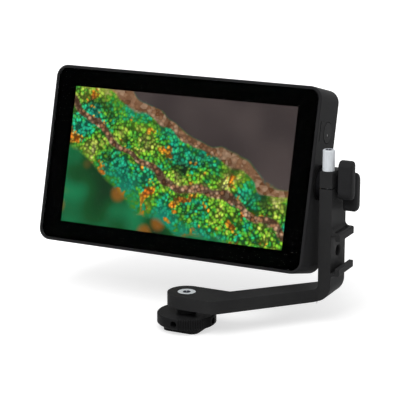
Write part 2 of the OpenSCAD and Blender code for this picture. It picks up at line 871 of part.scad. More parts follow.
module button_board() {
    color(board_color) on_monitor()
        block(switch_tip - switch_t - board_t, switch_tip - switch_t,
              button_d - button_board_d / 2, button_d + button_board_d / 2,
              button_v - button_board_h / 2, button_v + button_board_h / 2);
}

// ---------------------------------------------------------------- battery plate

module battery_plate() {
    color("#1c1c1e") on_monitor() difference() {
        union() {
            layer(recess_d0, plate_d1) round_rect(plate_w, plate_h, plate_r);
            for (side = [-1, 1]) mirror([side < 0 ? 1 : 0, 0, 0]) {
                block(plate_w / 2 - rail_t, plate_w / 2, plate_d1 - bond, housing_d,
                      -rail_l / 2, rail_l / 2);
                block(plate_w / 2 - rail_t - lip_reach, plate_w / 2, housing_d - lip_t, housing_d,
                      -rail_l / 2, rail_l / 2);
            }
            block(-plate_w / 2 + rail_t, plate_w / 2 - rail_t, plate_d1 - bond, housing_d,
                  plate_h / 2 - stop_h, plate_h / 2);
        }
        block(-latch_w / 2 - loose, latch_w / 2 + loose, recess_d0 - over, plate_d1 + over,
              latch_v - latch_h / 2 - loose, latch_v + latch_h / 2 + loose);
        for (x = [-1, 1], v = [-1, 1]) {
            rod(x * plate_screw_x, v * plate_screw_v, small_screw_r + run,
                recess_d0 - over, plate_d1 + over);
            rod(x * plate_screw_x, v * plate_screw_v, small_head_r + head_gap,
                plate_d1 - small_head_h - contact_gap, plate_d1 + over);
        }
        for (x = contact_x) {
            block(x - contact_half - contact_gap, x + contact_half + contact_gap,
                  plate_d1 + contact_in - contact_gap, housing_d - contact_in + contact_gap,
                  plate_h / 2 - stop_h - over, plate_h / 2 - contact_in - contact_gap);
            rod(x, lead_v, lead_hole_r, recess_d0 - over, plate_d1 + over);
        }
        for (v = [-rail_l / 2 + 2 * rib_step : rib_step : rail_l / 2 - 3 * rib_step])
            block(-rib_half_l, rib_half_l, plate_d1 - rib_deep, plate_d1 + over,
                  v - rib_half_w, v + rib_half_w);
    }
}

module plate_screws() {
    color("silver") on_monitor() for (x = [-1, 1], v = [-1, 1])
        back_screw(x * plate_screw_x, v * plate_screw_v, recess_d0 - wall + screw_tip,
                   plate_d1 - contact_gap, small_screw_r, small_head_r, small_head_h);
}

module battery_contacts() {
    color("gold") on_monitor() for (x = contact_x)
        block(x - contact_half, x + contact_half, plate_d1 + contact_in, housing_d - contact_in,
              plate_h / 2 - stop_h - contact_l, plate_h / 2 - contact_in - 2 * contact_gap);
}

module battery_leads() {
    color("red") on_monitor() for (x = contact_x) rod(x, lead_v, lead_r, board_d1, plate_d1 - loose);
}

module battery_latch() {
    color("#3a3a3d") on_monitor() difference() {
        union() {
            block(-latch_w / 2, latch_w / 2, latch_d0, plate_d1 + latch_proud,
                  latch_v - latch_h / 2, latch_v + latch_h / 2);
            block(-latch_w / 2 - latch_flange, latch_w / 2 + latch_flange,
                  latch_d0, latch_d0 + latch_flange_t,
                  latch_v - latch_h / 2 - latch_flange, latch_v + latch_h / 2 + latch_flange);
        }
        rod(0, latch_v, spring_r + loose, latch_d0 - over, plate_d1 + latch_proud - latch_roof);
        translate([0, plate_d1 + latch_proud, latch_v + latch_h / 2])
            rotate([45, 0, 0]) cube([latch_w + 2 * over, latch_ramp, latch_ramp], center = true);
    }
}

module latch_spring() {
    top = plate_d1 + latch_proud - latch_roof - latch_travel - spring_gap;
    color("silver") on_monitor() difference() {
        rod(0, latch_v, spring_r, well_d0, top);
        rod(0, latch_v, spring_r - spring_wire, well_d0 - over, top + over);
    }
}

// ---------------------------------------------------------------- tilt joint

// Places a piece on the tilt axis, with its z along the axis from x
module on_axis(x) {
    translate([x, reach_y, axis_h]) rotate([0, 90, 0]) children();
}

module spindle_pad() {
    color("black") on_axis(reach_x - side_gap) difference() {
        cylinder(r = flange_r + pad_out, h = pad_t);
        translate([0, 0, -over]) cylinder(r = screw_r + loose, h = pad_t + 2 * over);
    }
}

module tilt_spindle() {
    start = reach_x - side_gap + pad_t;
    color("#3c3c3f") on_axis(start) difference() {
        union() {
            cylinder(r = flange_r, h = flange_t);
            cylinder(r = spindle_r, h = spindle_end - start);
        }
        translate([0, 0, -over]) cylinder(r = screw_r + loose, h = spindle_end - start + 2 * over);
        translate([0, 0, clip_x - start]) difference() {
            cylinder(r = spindle_r + over, h = clip_t);
            translate([0, 0, -over]) cylinder(r = spindle_r - clip_groove, h = clip_t + 2 * over);
        }
    }
}

module spindle_clip() {
    color("silver") on_axis(clip_x + seat) difference() {
        cylinder(r = spindle_r + clip_out, h = clip_t - 2 * seat);
        translate([0, 0, -over]) cylinder(r = spindle_r - clip_groove + run, h = clip_t + 2 * over);
        translate([-clip_mouth / 2, 0, -over])
            cube([clip_mouth, spindle_r + 2 * clip_out, clip_t + 2 * over]);
    }
}

module friction_washer() {
    color("#6b5b3a") on_axis(reach_x - washer_t) difference() {
        cylinder(r = flange_r, h = washer_t);
        translate([0, 0, -over]) cylinder(r = spindle_r + loose, h = washer_t + 2 * over);
    }
}

module tension_screw() {
    color(silver_color) translate([tension_x, tension_yc, head_top + seat]) difference() {
        union() {
            translate([0, 0, -tension_l]) cylinder(r = tension_r, h = tension_l + over);
            cylinder(r = tension_head_r, h = tension_head_h - tension_chamfer);
            translate([0, 0, tension_head_h - tension_chamfer])
                cylinder(r1 = tension_head_r, r2 = tension_head_r - tension_chamfer, h = tension_chamfer);
        }
        translate([0, 0, tension_head_h - tension_hex_h])
            cylinder(r = tension_hex_r, h = tension_hex_h + over, $fn = 6);
    }
}

// Face-on outline of a lobe w wide and t thick, with its two outer corners rounded
module lobe_profile(w, t) {
    translate([-w / 2, 0]) square([w, t - knob_edge]);
    translate([-w / 2 + knob_edge, 0]) square([w - 2 * knob_edge, t]);
    for (side = [-1, 1]) translate([side * (w / 2 - knob_edge), t - knob_edge]) circle(knob_edge);
}

// One lobe of the knob, in front of the axis and set up from it
module knob_lobe() {
    w = lobe_w + knob_lap;
    translate([0, (knob_lap - lobe_w) / 2, lobe_shift]) intersection() {
        rotate([90, 0, 90]) linear_extrude(knob_t) round_rect(w, lobe_h, lobe_r);
        rotate([0, 0, -90]) translate([0, 0, -lobe_h / 2]) linear_extrude(lobe_h)
            lobe_profile(w, knob_t);
        rotate([90, -90, 180]) translate([0, 0, -w / 2]) linear_extrude(w)
            lobe_profile(lobe_h, knob_t);
    }
}

module wing_knob() {
    color("#2b2b2d") translate([knob_x, reach_y, axis_h]) difference() {
        union() {
            knob_lobe();
            rotate([180, 0, 0]) knob_lobe();
            rotate([0, 90, 0]) cylinder(r = knob_hub_r, h = knob_t - knob_hub_sink);
        }
        translate([-over, 0, 0]) rotate([0, 90, 0]) cylinder(r = screw_r, h = knob_bore_l + over);
    }
}

module knob_screw() {
    start = reach_x - side_gap - insert_l + insert_floor + screw_end_gap;
    color("silver") on_axis(start) cylinder(r = screw_r, h = knob_x + knob_bore_l - start);
}

// ---------------------------------------------------------------- arm

// Side view of the bar: the flat run, the elbow and the upright
module elbow_section() {
    cx = upright_x1 - elbow_r;
    cz = bar_z + elbow_r;
    translate([-2 * bar_w, bar_z]) square([cx + 2 * bar_w, bar_t]);
    translate([reach_x, cz]) square([bar_t, head_top - cz]);
    translate([cx, cz]) difference() {
        circle(elbow_r);
        circle(elbow_r - bar_t);
        translate([-2 * elbow_r, -elbow_r]) square([2 * elbow_r, 2 * elbow_r]);
        translate([-elbow_r, 0]) square(2 * elbow_r);
    }
}

// Plan of the bar: round about the foot's axis, then across to the upright
module bar_plan() {
    half = bar_w / 2;
    turn_mid = [turn_x - turn_cut, -half + turn_r];
    turn = [for (i = [turn_steps : -1 : 0])
        turn_mid + turn_r * [sin(turn_a * i / turn_steps), -cos(turn_a * i / turn_steps)]];
    circle(half);
    polygon(concat([[0, half], [turn_x, half], [reach_x + rear_lead, rear_y], [upright_x1, rear_y],
                    [upright_x1, front_y], [reach_x, front_y]], turn, [[0, -half]]));
}

// End view of the upright, with its head's rear corner rounded
module upright_section() {
    translate([front_y, 0]) square([bar_w, head_top - head_r]);
    translate([front_y, 0]) square([bar_w - head_r, head_top]);
    translate([rear_y - head_r, head_top - head_r]) circle(head_r);
}

// Section of the accessory shoe, x out from the upright and y up from its middle
module shoe_section() {
    difference() {
        union() {
            translate([-0.5, -shoe_half]) square([shoe_out + 0.5 - shoe_edge, 2 * shoe_half]);
            translate([0, -shoe_half + shoe_edge]) square([shoe_out, 2 * (shoe_half - shoe_edge)]);
            for (y = [-1, 1]) {
                translate([shoe_out - shoe_edge, y * (shoe_half - shoe_edge)]) circle(shoe_edge);
                mirror([0, y < 0 ? 1 : 0]) difference() {
                    translate([-0.5, shoe_half - 0.1]) square([root_r + 0.5, root_r + 0.1]);
                    translate([root_r, shoe_half + root_r]) circle(root_r);
                }
            }
        }
        translate([0, -channel_w / 2]) square([channel_d, channel_w]);
        translate([0, -lip_gap / 2]) square([shoe_out + over, lip_gap]);
    }
}

module arm_bracket() {
    color(metal_color) difference() {
        union() {
            intersection() {
                translate([0, rear_y + over, 0]) rotate([90, 0, 0])
                    linear_extrude(rear_y + bar_w + 2 * over) elbow_section();
                union() {
                    linear_extrude(bar_z + elbow_r) bar_plan();
                    translate([reach_x, 0, 0]) rotate([90, 0, 90])
                        linear_extrude(bar_t + over) upright_section();
                }
            }
            translate([upright_x1, rear_y, shoe_z]) rotate([90, 0, 0])
                linear_extrude(bar_w) shoe_section();
        }
        // bore for the spindle, slit to the front face and the tension screw's hole
        on_axis(reach_x - over) cylinder(r = spindle_r + run, h = bar_t + 2 * over);
        translate([reach_x - over, front_y - over, axis_h - slit_drop - slit_w / 2])
            cube([bar_t + 2 * over, bar_w / 2 + over, slit_w]);
        translate([tension_x, tension_yc, axis_h])
            cylinder(r = tension_r + tension_clear, h = head_h + over);
        translate([tension_x, tension_yc, head_top - tension_l - tension_tip_gap])
            cylinder(r = tension_r + run, h = tension_l);
        // threaded hole in the accessory shoe, and the relief slot in its upper wall
        translate([reach_x - over, reach_y, shoe_z]) rotate([0, 90, 0])
            cylinder(r = thread_r, h = bar_t + 2 * over);
        translate([upright_x1 - thread_chamfer, reach_y, shoe_z]) rotate([0, 90, 0])
            cylinder(r1 = thread_r, r2 = thread_r + 2 * thread_chamfer, h = 2 * thread_chamfer);
        translate([upright_x1 + channel_d - relief_w, front_y + relief_in, shoe_z + channel_w / 2 - over])
            cube([relief_w, bar_w - 2 * relief_in, shoe_wall + 2 * over]);
        // pivot hole and its countersink
        translate([0, 0, bar_z - over]) cylinder(r = pivot_r + run, h = bar_t + 2 * over);
        translate([0, 0, bar_top - csk_h - csk_sink])
            cylinder(r1 = pivot_r + run, r2 = pivot_head_r + run, h = csk_h);
        translate([0, 0, bar_top - csk_sink]) cylinder(r = pivot_head_r + run, h = over);
    }
}

// ---------------------------------------------------------------- shoe foot

module foot_plate() {
    color(metal_color) difference() {
        linear_extrude(foot_t) round_rect(foot_w, foot_w, foot_r);
        translate([0, 0, -over]) cylinder(r = spigot_r + run, h = foot_t + 2 * over);
    }
}

module foot_stud() {
    color("#1c1c1e") difference() {
        union() {
            cylinder(r = spigot_r, h = stud_z + bond);
            intersection() {
                translate([0, 0, stud_z]) cylinder(r = stud_r, h = stud_top - stud_z);
                translate([-stud_flats / 2, -stud_r, 0]) cube([stud_flats, 2 * stud_r, stud_top]);
            }
        }
        translate([0, 0, stud_z + stud_floor]) cylinder(r = pivot_r + run, h = stud_top);
    }
}

module pivot_screw() {
    top = bar_top - pivot_sink;
    color(silver_color) difference() {
        union() {
            translate([0, 0, pivot_start]) cylinder(r = pivot_r, h = top - csk_h - pivot_start);
            translate([0, 0, top - csk_h]) cylinder(r1 = pivot_r, r2 = pivot_head_r, h = csk_h);
        }
        translate([0, 0, top - pivot_hex_h]) cylinder(r = pivot_hex_r, h = pivot_hex_h + over, $fn = 6);
    }
}

module pivot_washer() {
    color("silver") translate([0, 0, stud_top]) difference() {
        cylinder(r = pivot_washer_r, h = pivot_washer_t);
        translate([0, 0, -over]) cylinder(r = pivot_r + run, h = pivot_washer_t + 2 * over);
    }
}

module ring_pad() {
    color("black") translate([0, 0, foot_t + seat]) linear_extrude(ring_pad_t) difference() {
        circle(ring_pad_r);
        intersection() {
            circle(stud_r + loose);
            square([stud_flats + 2 * run, 3 * stud_r], center = true);
        }
    }
}

module lock_ring() {
    color("#222224") translate([0, 0, ring_z]) difference() {
        union() {
            cylinder(r1 = ring_r - ring_edge, r2 = ring_r, h = ring_edge);
            translate([0, 0, ring_edge]) cylinder(r = ring_r, h = ring_h - 2 * ring_edge);
            translate([0, 0, ring_h - ring_edge])
                cylinder(r1 = ring_r, r2 = ring_r - ring_edge, h = ring_edge);
        }
        translate([0, 0, -over]) cylinder(r = stud_r + run, h = ring_h + 2 * over);
        for (a = [0 : tommy_sector : 359])
            translate([0, 0, ring_h / 2]) rotate([90, 0, a])
                translate([0, 0, ring_r - tommy_depth]) cylinder(r = tommy_r, h = tommy_depth + over);
        for (start = grip_starts, a = [tommy_margin : groove_step : tommy_sector - tommy_margin])
            rotate(start + a) translate([ring_r, 0, ring_h / 2]) rotate(45)
                cube([2 * groove_d, 2 * groove_d, ring_h + 2 * over], center = true);
    }
}

front_frame();
cover_glass();
glass_tape();
lcd_panel();
backlight();
panel_tray();
tray_screws();
main_board();
board_posts();
board_screws();
board_chips();
heat_spreader();
display_connector();
display_cable();
hdmi_in_socket();
hdmi_out_socket();
power_jack();
headphone_socket();
usb_socket();
rear_cover();
housing_screws();
arm_insert();
side_insert();
base_insert();
button_board();
button_switch();
power_button();
button_lens();
battery_plate();
plate_screws();
battery_contacts();
battery_leads();
battery_latch();
latch_spring();
tilt_spindle();
spindle_pad();
spindle_clip();
friction_washer();
arm_bracket();
tension_screw();
wing_knob();
knob_screw();
foot_plate();
foot_stud();
pivot_screw();
pivot_washer();
ring_pad();
lock_ring();
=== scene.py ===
"""Camera field monitor on its tilt arm: the stage, the finishes and the modelled pieces.

Laid out as an add-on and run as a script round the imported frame. Lengths are in millimetres, and
meshes, lamps and the camera are made in metres.
"""

import json
import math

import bmesh
import bpy
import numpy as np
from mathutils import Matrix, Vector


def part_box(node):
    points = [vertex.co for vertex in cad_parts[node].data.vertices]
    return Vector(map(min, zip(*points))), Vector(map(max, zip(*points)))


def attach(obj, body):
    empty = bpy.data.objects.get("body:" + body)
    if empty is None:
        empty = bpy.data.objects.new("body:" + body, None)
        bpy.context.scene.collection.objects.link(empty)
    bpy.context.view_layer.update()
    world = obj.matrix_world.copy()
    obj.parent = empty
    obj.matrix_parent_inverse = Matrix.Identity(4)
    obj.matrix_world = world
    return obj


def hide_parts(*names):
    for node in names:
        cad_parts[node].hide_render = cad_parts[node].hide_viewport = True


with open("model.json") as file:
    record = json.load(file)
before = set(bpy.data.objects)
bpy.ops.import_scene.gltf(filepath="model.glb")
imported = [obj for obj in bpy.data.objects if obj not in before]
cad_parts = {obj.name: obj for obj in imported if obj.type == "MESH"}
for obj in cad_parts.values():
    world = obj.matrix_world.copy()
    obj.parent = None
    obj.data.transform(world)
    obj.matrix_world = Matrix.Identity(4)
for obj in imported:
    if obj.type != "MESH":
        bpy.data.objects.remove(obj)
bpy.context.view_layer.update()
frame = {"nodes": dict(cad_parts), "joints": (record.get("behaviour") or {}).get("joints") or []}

bl_info = {
    "name": "Field monitor on a tilt arm",
    "version": (1, 0, 0),
    "blender": (4, 5, 0),
    "location": "View3D > Sidebar > Field monitor",
    "description": "Builds the looks of a camera field monitor with a tilting, panning arm",
    "category": "Object",
}

MM = 0.001
BLACK = (0.0, 0.0, 0.0)
WHITE = (1.0, 1.0, 1.0)
JOINTS = {joint["name"]: joint for joint in frame["joints"]}
TILT_AXIS = Vector(JOINTS["screen_tilt"]["pos_m"]) / MM


def node_box(node):
    """Lowest and highest corners of a CAD node, in millimetres."""
    low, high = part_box(node)
    return low / MM, high / MM


def node_middle(node):
    """Middle of a CAD node's box, in millimetres."""
    low, high = node_box(node)
    return (low + high) / 2


SCREEN_X = node_middle("cover_glass").x


# ---------------------------------------------------------------- settings


def number(name, description, default):
    """A setting of one number."""
    return bpy.props.FloatProperty(name=name, description=description, default=default)


def numbers(name, description, default):
    """A setting of several numbers."""
    return bpy.props.FloatVectorProperty(
        name=name, description=description, size=len(default), default=default)


def color(name, description, default):
    """A setting of a colour."""
    return bpy.props.FloatVectorProperty(
        name=name, description=description, subtype="COLOR", default=default)


class ScreenSettings(bpy.types.PropertyGroup):
    """How the screen stands, and the sizes of its glass and picture"""
    lean: number("Lean", "How far the screen leans back from upright, in degrees", 15.0)
    axis_depth: number("Axis depth", "Depth of the tilt axis behind the glass", 10.6)
    axis_drop: number("Axis drop", "Drop of the tilt axis below the screen's middle", 0.2)
    picture_w: number("Picture width", "Width of the lit picture", 121.8)
    picture_h: number("Picture height", "Height of the lit picture", 68.5)
    picture_r: number("Picture corner", "Corner radius of the lit picture", 0.02)
    glass_w: number("Glass width", "Width of the cover glass", 142.1)
    glass_h: number("Glass height", "Height of the cover glass", 86.2)
    glass_r: number("Glass corner", "Corner radius of the cover glass", 4.6)
    glass_t: number("Glass thickness", "Thickness of the glass and its printed border", 1.1)
    glass_edge: number("Glass edge", "Polished rounding of the glass's front edge", 0.3)
    ink_t: number("Ink thickness", "Thickness of the printed border", 0.06)
    ink_gap: number("Ink gap", "From the printed border to the glass and to the panel", 0.03)
    ink_inset: number("Ink inset", "From the glass's edge to the printed border", 0.05)
    brightness: number("Brightness", "Brightness of the lit picture", 1.0)


class FinishSettings(bpy.types.PropertyGroup):
    """Colours that show in front"""
    housing: color("Housing", "Moulded black of the housing", (0.026, 0.026, 0.027))
    arm: color("Arm", "Blasted black of the arm", (0.032, 0.032, 0.0325))
    ring: color("Lock ring", "Black of the lock ring", (0.017, 0.017, 0.0175))
    knob: color("Knob", "Moulded black of the wing knob", (0.029, 0.029, 0.030))
    bright: color("Bright steel", "Plated steel of the screws that show", (0.84, 0.88, 0.92))


class HardwareSettings(bpy.types.PropertyGroup):
    """Sizes of the screws and of the knob"""
    edge: number("Broken edge", "Width of the broken edges of the metal parts", 0.22)
    tension_head: number("Tension head", "Height of the tension screw's head", 10.2)
    tension_shank: number("Tension shank", "Radius of the tension screw's shank", 1.5)
    tension_socket: number("Tension socket", "Corner radius of the tension screw's socket", 1.75)
    tension_depth: number("Tension depth", "Depth of the tension screw's socket", 3.0)
    pivot_shank: number("Pivot shank", "Radius of the pivot screw's shank", 2.5)
    pivot_socket: number("Pivot socket", "Corner radius of the pivot screw's socket", 2.0)
    pivot_depth: number("Pivot depth", "Depth of the pivot screw's socket", 2.6)
    lobe_w: number("Lobe width", "Width of each lobe of the knob", 6.7)
    lobe_h: number("Lobe height", "Height of each lobe of the knob", 19.0)
    lobe_radii: numbers(
        "Lobe corners", "Corner radii: upper inner, upper outer, lower outer, lower inner",
        (2.4, 3.0, 4.4, 2.2))
    knob_edge: number("Knob edge", "Rounding of the knob's outer edges", 1.5)
    knob_hub: number("Knob hub", "Radius of the knob's hub", 4.2)
    knob_voxel: number("Knob voxel", "Voxel that joins the knob's lobes and hub", 0.2)


class StageSettings(bpy.types.PropertyGroup):
    """Camera and lights"""
    azimuth: number("Azimuth", "Angle of the camera round the object, in degrees", 26.454)
    elevation: number("Elevation", "Height of the camera's view line, in degrees", 14.516)
    distance: number("Distance", "From the camera to its aim point", 781.4)
    aim: numbers("Aim", "Point that the camera looks at", (-7.88, 30.0, 54.9))
    lens: number("Lens", "Focal length on a 36 mm sensor", 144.1)
    room_light: number("Room light", "Even light from all round", 0.36)
    key_light: number("Key light", "Strength of the soft light above the front", 1.9)
    key_size: number("Key size", "Width of the soft light above the front", 900.0)
    key_place: numbers("Key place", "Place of the soft light above the front", (60, -750, 1100))
    side_light: number("Side light", "Strength of the soft light behind the right side", 0.12)
    side_size: number("Side size", "Width of the soft light behind the right side", 800.0)
    side_place: numbers(
        "Side place", "Place of the soft light behind the right side", (1100, 250, 600))
    lit_point: numbers("Lit point", "Point that the soft lights face", (0, 30, 50))
    shadow_r: number("Shadow", "Distance within which the floor's shadow is full", 50.0)
    clear_r: number("Clear floor", "Distance beyond which the floor is clear of shadow", 220.0)
    shadow_glow: number("Shadow glow", "Light of the floor's own where its shadow is full", 0.64)


def settings(name):
    """One group of settings."""
    return getattr(bpy.context.scene, name)


# ---------------------------------------------------------------- shader maths


class Wire:
    """One output socket of a node tree. Sums and products of wires add their Math nodes."""

    def __init__(self, graph, socket):
        self.graph, self.socket = graph, socket

    def math(self, operation, *others):
        """A Math node on this wire and the others."""
        return self.graph.node("ShaderNodeMath", {"operation": operation}, [self, *others])

    def __add__(self, other):
        return self.math("ADD", other)

    def __mul__(self, other):
        return self.math("MULTIPLY", other)

    def __sub__(self, other):
        return self.math("SUBTRACT", other)

    def __rsub__(self, other):
        return self.graph.node("ShaderNodeMath", {"operation": "SUBTRACT"}, [other, self])

    def __abs__(self):
        return self.math("ABSOLUTE")

    __radd__ = __add__
    __rmul__ = __mul__

    def sin(self):
        return self.math("SINE")

    def waves(self, pitch):
        """Sine waves of that pitch."""
        return (self * (2 * math.pi / pitch)).sin()

    def rise(self, low, high):
        """0 below low and 1 above high, with a soft step between."""
        span = {"interpolation_type": "SMOOTHSTEP"}
        return self.graph.node("ShaderNodeMapRange", span, {0: self, 1: low, 2: high})

    def band(self, low, high, soft):
        """1 between low and high and 0 outside, with edges that are soft wide."""
        return self.rise(low - soft, low + soft) * (1 - self.rise(high - soft, high + soft))

    def ramp(self, stops):
        """Colour at each stop, as (place, colour)."""
        return self.graph.node("ShaderNodeValToRGB", {"stops": stops}, {0: self})


def hypot(first, second):
    """Distance whose two sides are wires."""
    return (first * first + second * second).math("SQRT")


class Graph:
    """A node tree in the making."""

    def __init__(self, tree):
        self.tree = tree

    def node(self, kind, setup=None, sockets=(), out=0):
        """Adds a node: its settings first, then the values or wires of its sockets. Returns one
        output."""
        made = self.tree.nodes.new(kind)
        for key, value in (setup or {}).items():
            if key == "stops":
                self.set_stops(made.color_ramp, value)
            else:
                setattr(made, key, value)
        pairs = sockets.items() if isinstance(sockets, dict) else enumerate(sockets)
        for key, value in pairs:
            self.plug(made.inputs[key], value)
        return Wire(self, made.outputs[out])

    @staticmethod
    def set_stops(ramp, stops):
        """Sets a ramp's places and colours."""
        while len(ramp.elements) < len(stops):
            ramp.elements.new(0.5)
        for element, (place, tone) in zip(ramp.elements, stops):
            element.position = place
            element.color = (*tone, 1.0)

    def plug(self, socket, value):
        """Feeds a socket with a wire, a colour or another value."""
        if isinstance(value, Wire):
            self.tree.links.new(value.socket, socket)
        elif socket.type == "RGBA" and len(value) == 3:
            socket.default_value = (*value, 1.0)
        else:
            socket.default_value = value

    def seen(self):
        """1 for rays from the camera and for mirrored and refracted ones."""
        path = self.node("ShaderNodeLightPath").socket.node
        camera, mirrored, refracted = [
            Wire(self, path.outputs[kind])
            for kind in ("Is Camera Ray", "Is Glossy Ray", "Is Transmission Ray")]
        return camera.math("MAXIMUM", mirrored).math("MAXIMUM", refracted)


class Paint(Graph):
    """A material in the making: one Principled surface, fed by wires."""

    def __init__(self, name, base, roughness, **fixed):
        self.material = bpy.data.materials.new(name)
        self.material.use_nodes = True
        super().__init__(self.material.node_tree)
        self.shader = self.tree.nodes["Principled BSDF"]
        self.material.diffuse_color = (*base, 1.0)
        self.set("Base Color", base)
        self.set("Roughness", roughness)
        for socket, value in fixed.items():
            self.set(socket.replace("_", " "), value)

    def set(self, socket, value):
        """Feeds one socket of the surface."""
        self.plug(self.shader.inputs[socket], value)

    def place(self):
        """Object coordinates in millimetres."""
        return self.scaled(self.node("ShaderNodeTexCoord", out="Object"), 1 / MM)

    def scaled(self, vector, factor):
        """A vector or a colour times a factor."""
        return self.node(
            "ShaderNodeVectorMath", {"operation": "SCALE"}, {0: vector, "Scale": factor})

    def mapped(self, vector, **mapping):
        """The vector moved, turned and stretched: Location, Rotation and Scale."""
        return self.node("ShaderNodeMapping", None, {"Vector": vector, **mapping})

    def split(self, vector):
        """The three parts of a vector."""
        parts = self.node("ShaderNodeSeparateXYZ", None, [vector])
        return [Wire(self, parts.socket.node.outputs[axis]) for axis in range(3)]

    def noise(self, vector, scale, detail=3.0, distort=0.0):
        """Soft noise with about scale spots a millimetre."""
        return self.node("ShaderNodeTexNoise", None, {
            "Vector": vector, "Scale": scale, "Detail": detail, "Distortion": distort})

    def cells(self, vector, scale, out):
        """Random cells, about scale of them a millimetre: their Distance or their Color."""
        return self.node("ShaderNodeTexVoronoi", None, {"Vector": vector, "Scale": scale}, out=out)

    def mix(self, share, first, second):
        """The first colour where the share is 0, and the second where it is 1."""
        sockets = {0: share, 6: first, 7: second}
        return self.node("ShaderNodeMix", {"data_type": "RGBA"}, sockets, out=2)

    def bump(self, height, distance, strength=1.0):
        """Raises the surface by height times distance, in millimetres."""
        bumped = self.node("ShaderNodeBump", None, {
            "Height": height, "Distance": distance * MM, "Strength": strength})
        self.set("Normal", bumped)


def shade(base, factor):
    """A colour times a factor."""
    return tuple(min(1.0, part * factor) for part in base)


def grained(name, base, roughness, grain=0.35, depth=0.012, **fixed):
    """A moulded or blasted surface: fine grain in the bump, slow mottling in colour and gloss."""
    mottle, mottle_scale = 0.12, 0.06
    paint = Paint(name, base, roughness, **fixed)
    spot = paint.place()
    slow = paint.noise(spot, mottle_scale, 4.0)
    fine = paint.noise(spot, 1 / grain, 2.0)
    share = (slow * 0.7 + fine * 0.3).rise(0.3, 0.7)
    paint.set("Base Color", paint.mix(share, shade(base, 1 - mottle), shade(base, 1 + mottle)))
    paint.set("Roughness", roughness - 0.04 + slow * 0.05 + fine * 0.03)
    paint.bump(fine, depth)
    return paint.material


def turned(name, base, roughness, metal):
    """A turned surface: fine rings round Y, with a broken-up gloss."""
    pitch, depth = 0.12, 0.006
    paint = Paint(name, base, roughness, Metallic=metal)
    spot = paint.place()
    x, along, z = paint.split(spot)
    smear = paint.noise(spot, 0.9, 3.0)
    paint.set("Base Color", paint.mix(smear.rise(0.35, 0.7), base, shade(base, 0.86)))
    paint.set("Roughness", roughness + smear * 0.12)
    paint.bump((hypot(x, z) + along).waves(pitch), depth, 0.6)
    return paint.material


def rolled(name, base, roughness, axis):
    """Rolled or drawn metal: streaks along one axis."""
    narrow, long = 9.0, 0.15
    paint = Paint(name, base, roughness, Metallic=1.0)
    stretch = tuple(long if letter == axis else narrow for letter in "XYZ")
    streaks = paint.noise(paint.mapped(paint.place(), Scale=stretch), 1.0, 3.0)
    paint.set("Base Color", paint.mix(streaks, shade(base, 0.88), base))
    paint.set("Roughness", roughness + streaks * 0.15)
    paint.bump(streaks, 0.004)
    return paint.material


# ---------------------------------------------------------------- screen's own coordinates


def to_row(points):
    """Screen coordinates (x to the right, depth behind the glass, height up the screen) to the
    row frame, in millimetres."""
    screen = settings("monitor_screen")
    lean = math.radians(screen.lean)
    x, depth, height = np.moveaxis(np.asarray(points, float), -1, 0)
    y = depth - screen.axis_depth
    z = height + screen.axis_drop
    return np.stack([
        SCREEN_X + x,
        TILT_AXIS.y + y * math.cos(lean) + z * math.sin(lean),
        TILT_AXIS.z - y * math.sin(lean) + z * math.cos(lean)], axis=-1)


def screen_place(paint):
    """The material's own place on the screen: x, depth and height in millimetres."""
    screen = settings("monitor_screen")
    low = paint.mapped(paint.place(), Location=(-SCREEN_X, -TILT_AXIS.y, -TILT_AXIS.z))
    return paint.mapped(low, Rotation=(math.radians(screen.lean), 0, 0),
                        Location=(0, screen.axis_depth, -screen.axis_drop))


def screen_flat(paint):
    """The material's x and height on the screen, and the two as one flat vector."""
    x, _, height = paint.split(screen_place(paint))
    return x, height, paint.node("ShaderNodeCombineXYZ", None, [x, height])


# ---------------------------------------------------------------- finishes


def picture_finish():
    """The lit picture, all from formulas: a beaded band that sweeps down to the right, sharp in
    its middle, between a dark taupe ground and blurred leaves."""
    slope, sway_reach = 0.42, 26.0
    dark_taupe, pale_taupe = (0.036, 0.027, 0.027), (0.066, 0.050, 0.048)
    screen = settings("monitor_screen")
    paint = Paint("lit picture", BLACK, 0.35, Specular_IOR_Level=0.1)
    x, height, flat = screen_flat(paint)
    sway = paint.noise(flat, 0.03, 2.0) - 0.5
    across = height + x * slope + sway * sway_reach
    upper = across + (x * 0.07 + 1.0).sin() * 3.0
    lower = across + (x * 0.06 + 2.4).sin() * 5.0
    focus = across.band(-24.0, 14.0, 9.0)
    picture = beaded(paint, flat, focus)
    for side, middle, half in ((upper, 17.0, 2.6), (lower, -3.0, 2.0)):
        crest = side.band(middle - half, middle + half, 0.8)
        picture = paint.mix(crest, picture, ridge(paint, flat, focus))
    taupe = paint.mix(paint.noise(flat, 0.03, 1.0).rise(0.3, 0.7), dark_taupe, pale_taupe)
    picture = paint.mix(upper.rise(18.6, 20.4), picture, taupe)
    picture = paint.mix(1 - lower.rise(-29.0, -25.0), picture, leaves(paint, flat))
    within_width = abs(x).math("LESS_THAN", screen.picture_w / 2)
    within_height = abs(height).math("LESS_THAN", screen.picture_h / 2)
    paint.set("Emission Color", paint.mix(within_width * within_height, BLACK, picture))
    paint.set("Emission Strength", screen.brightness)
    return paint.material


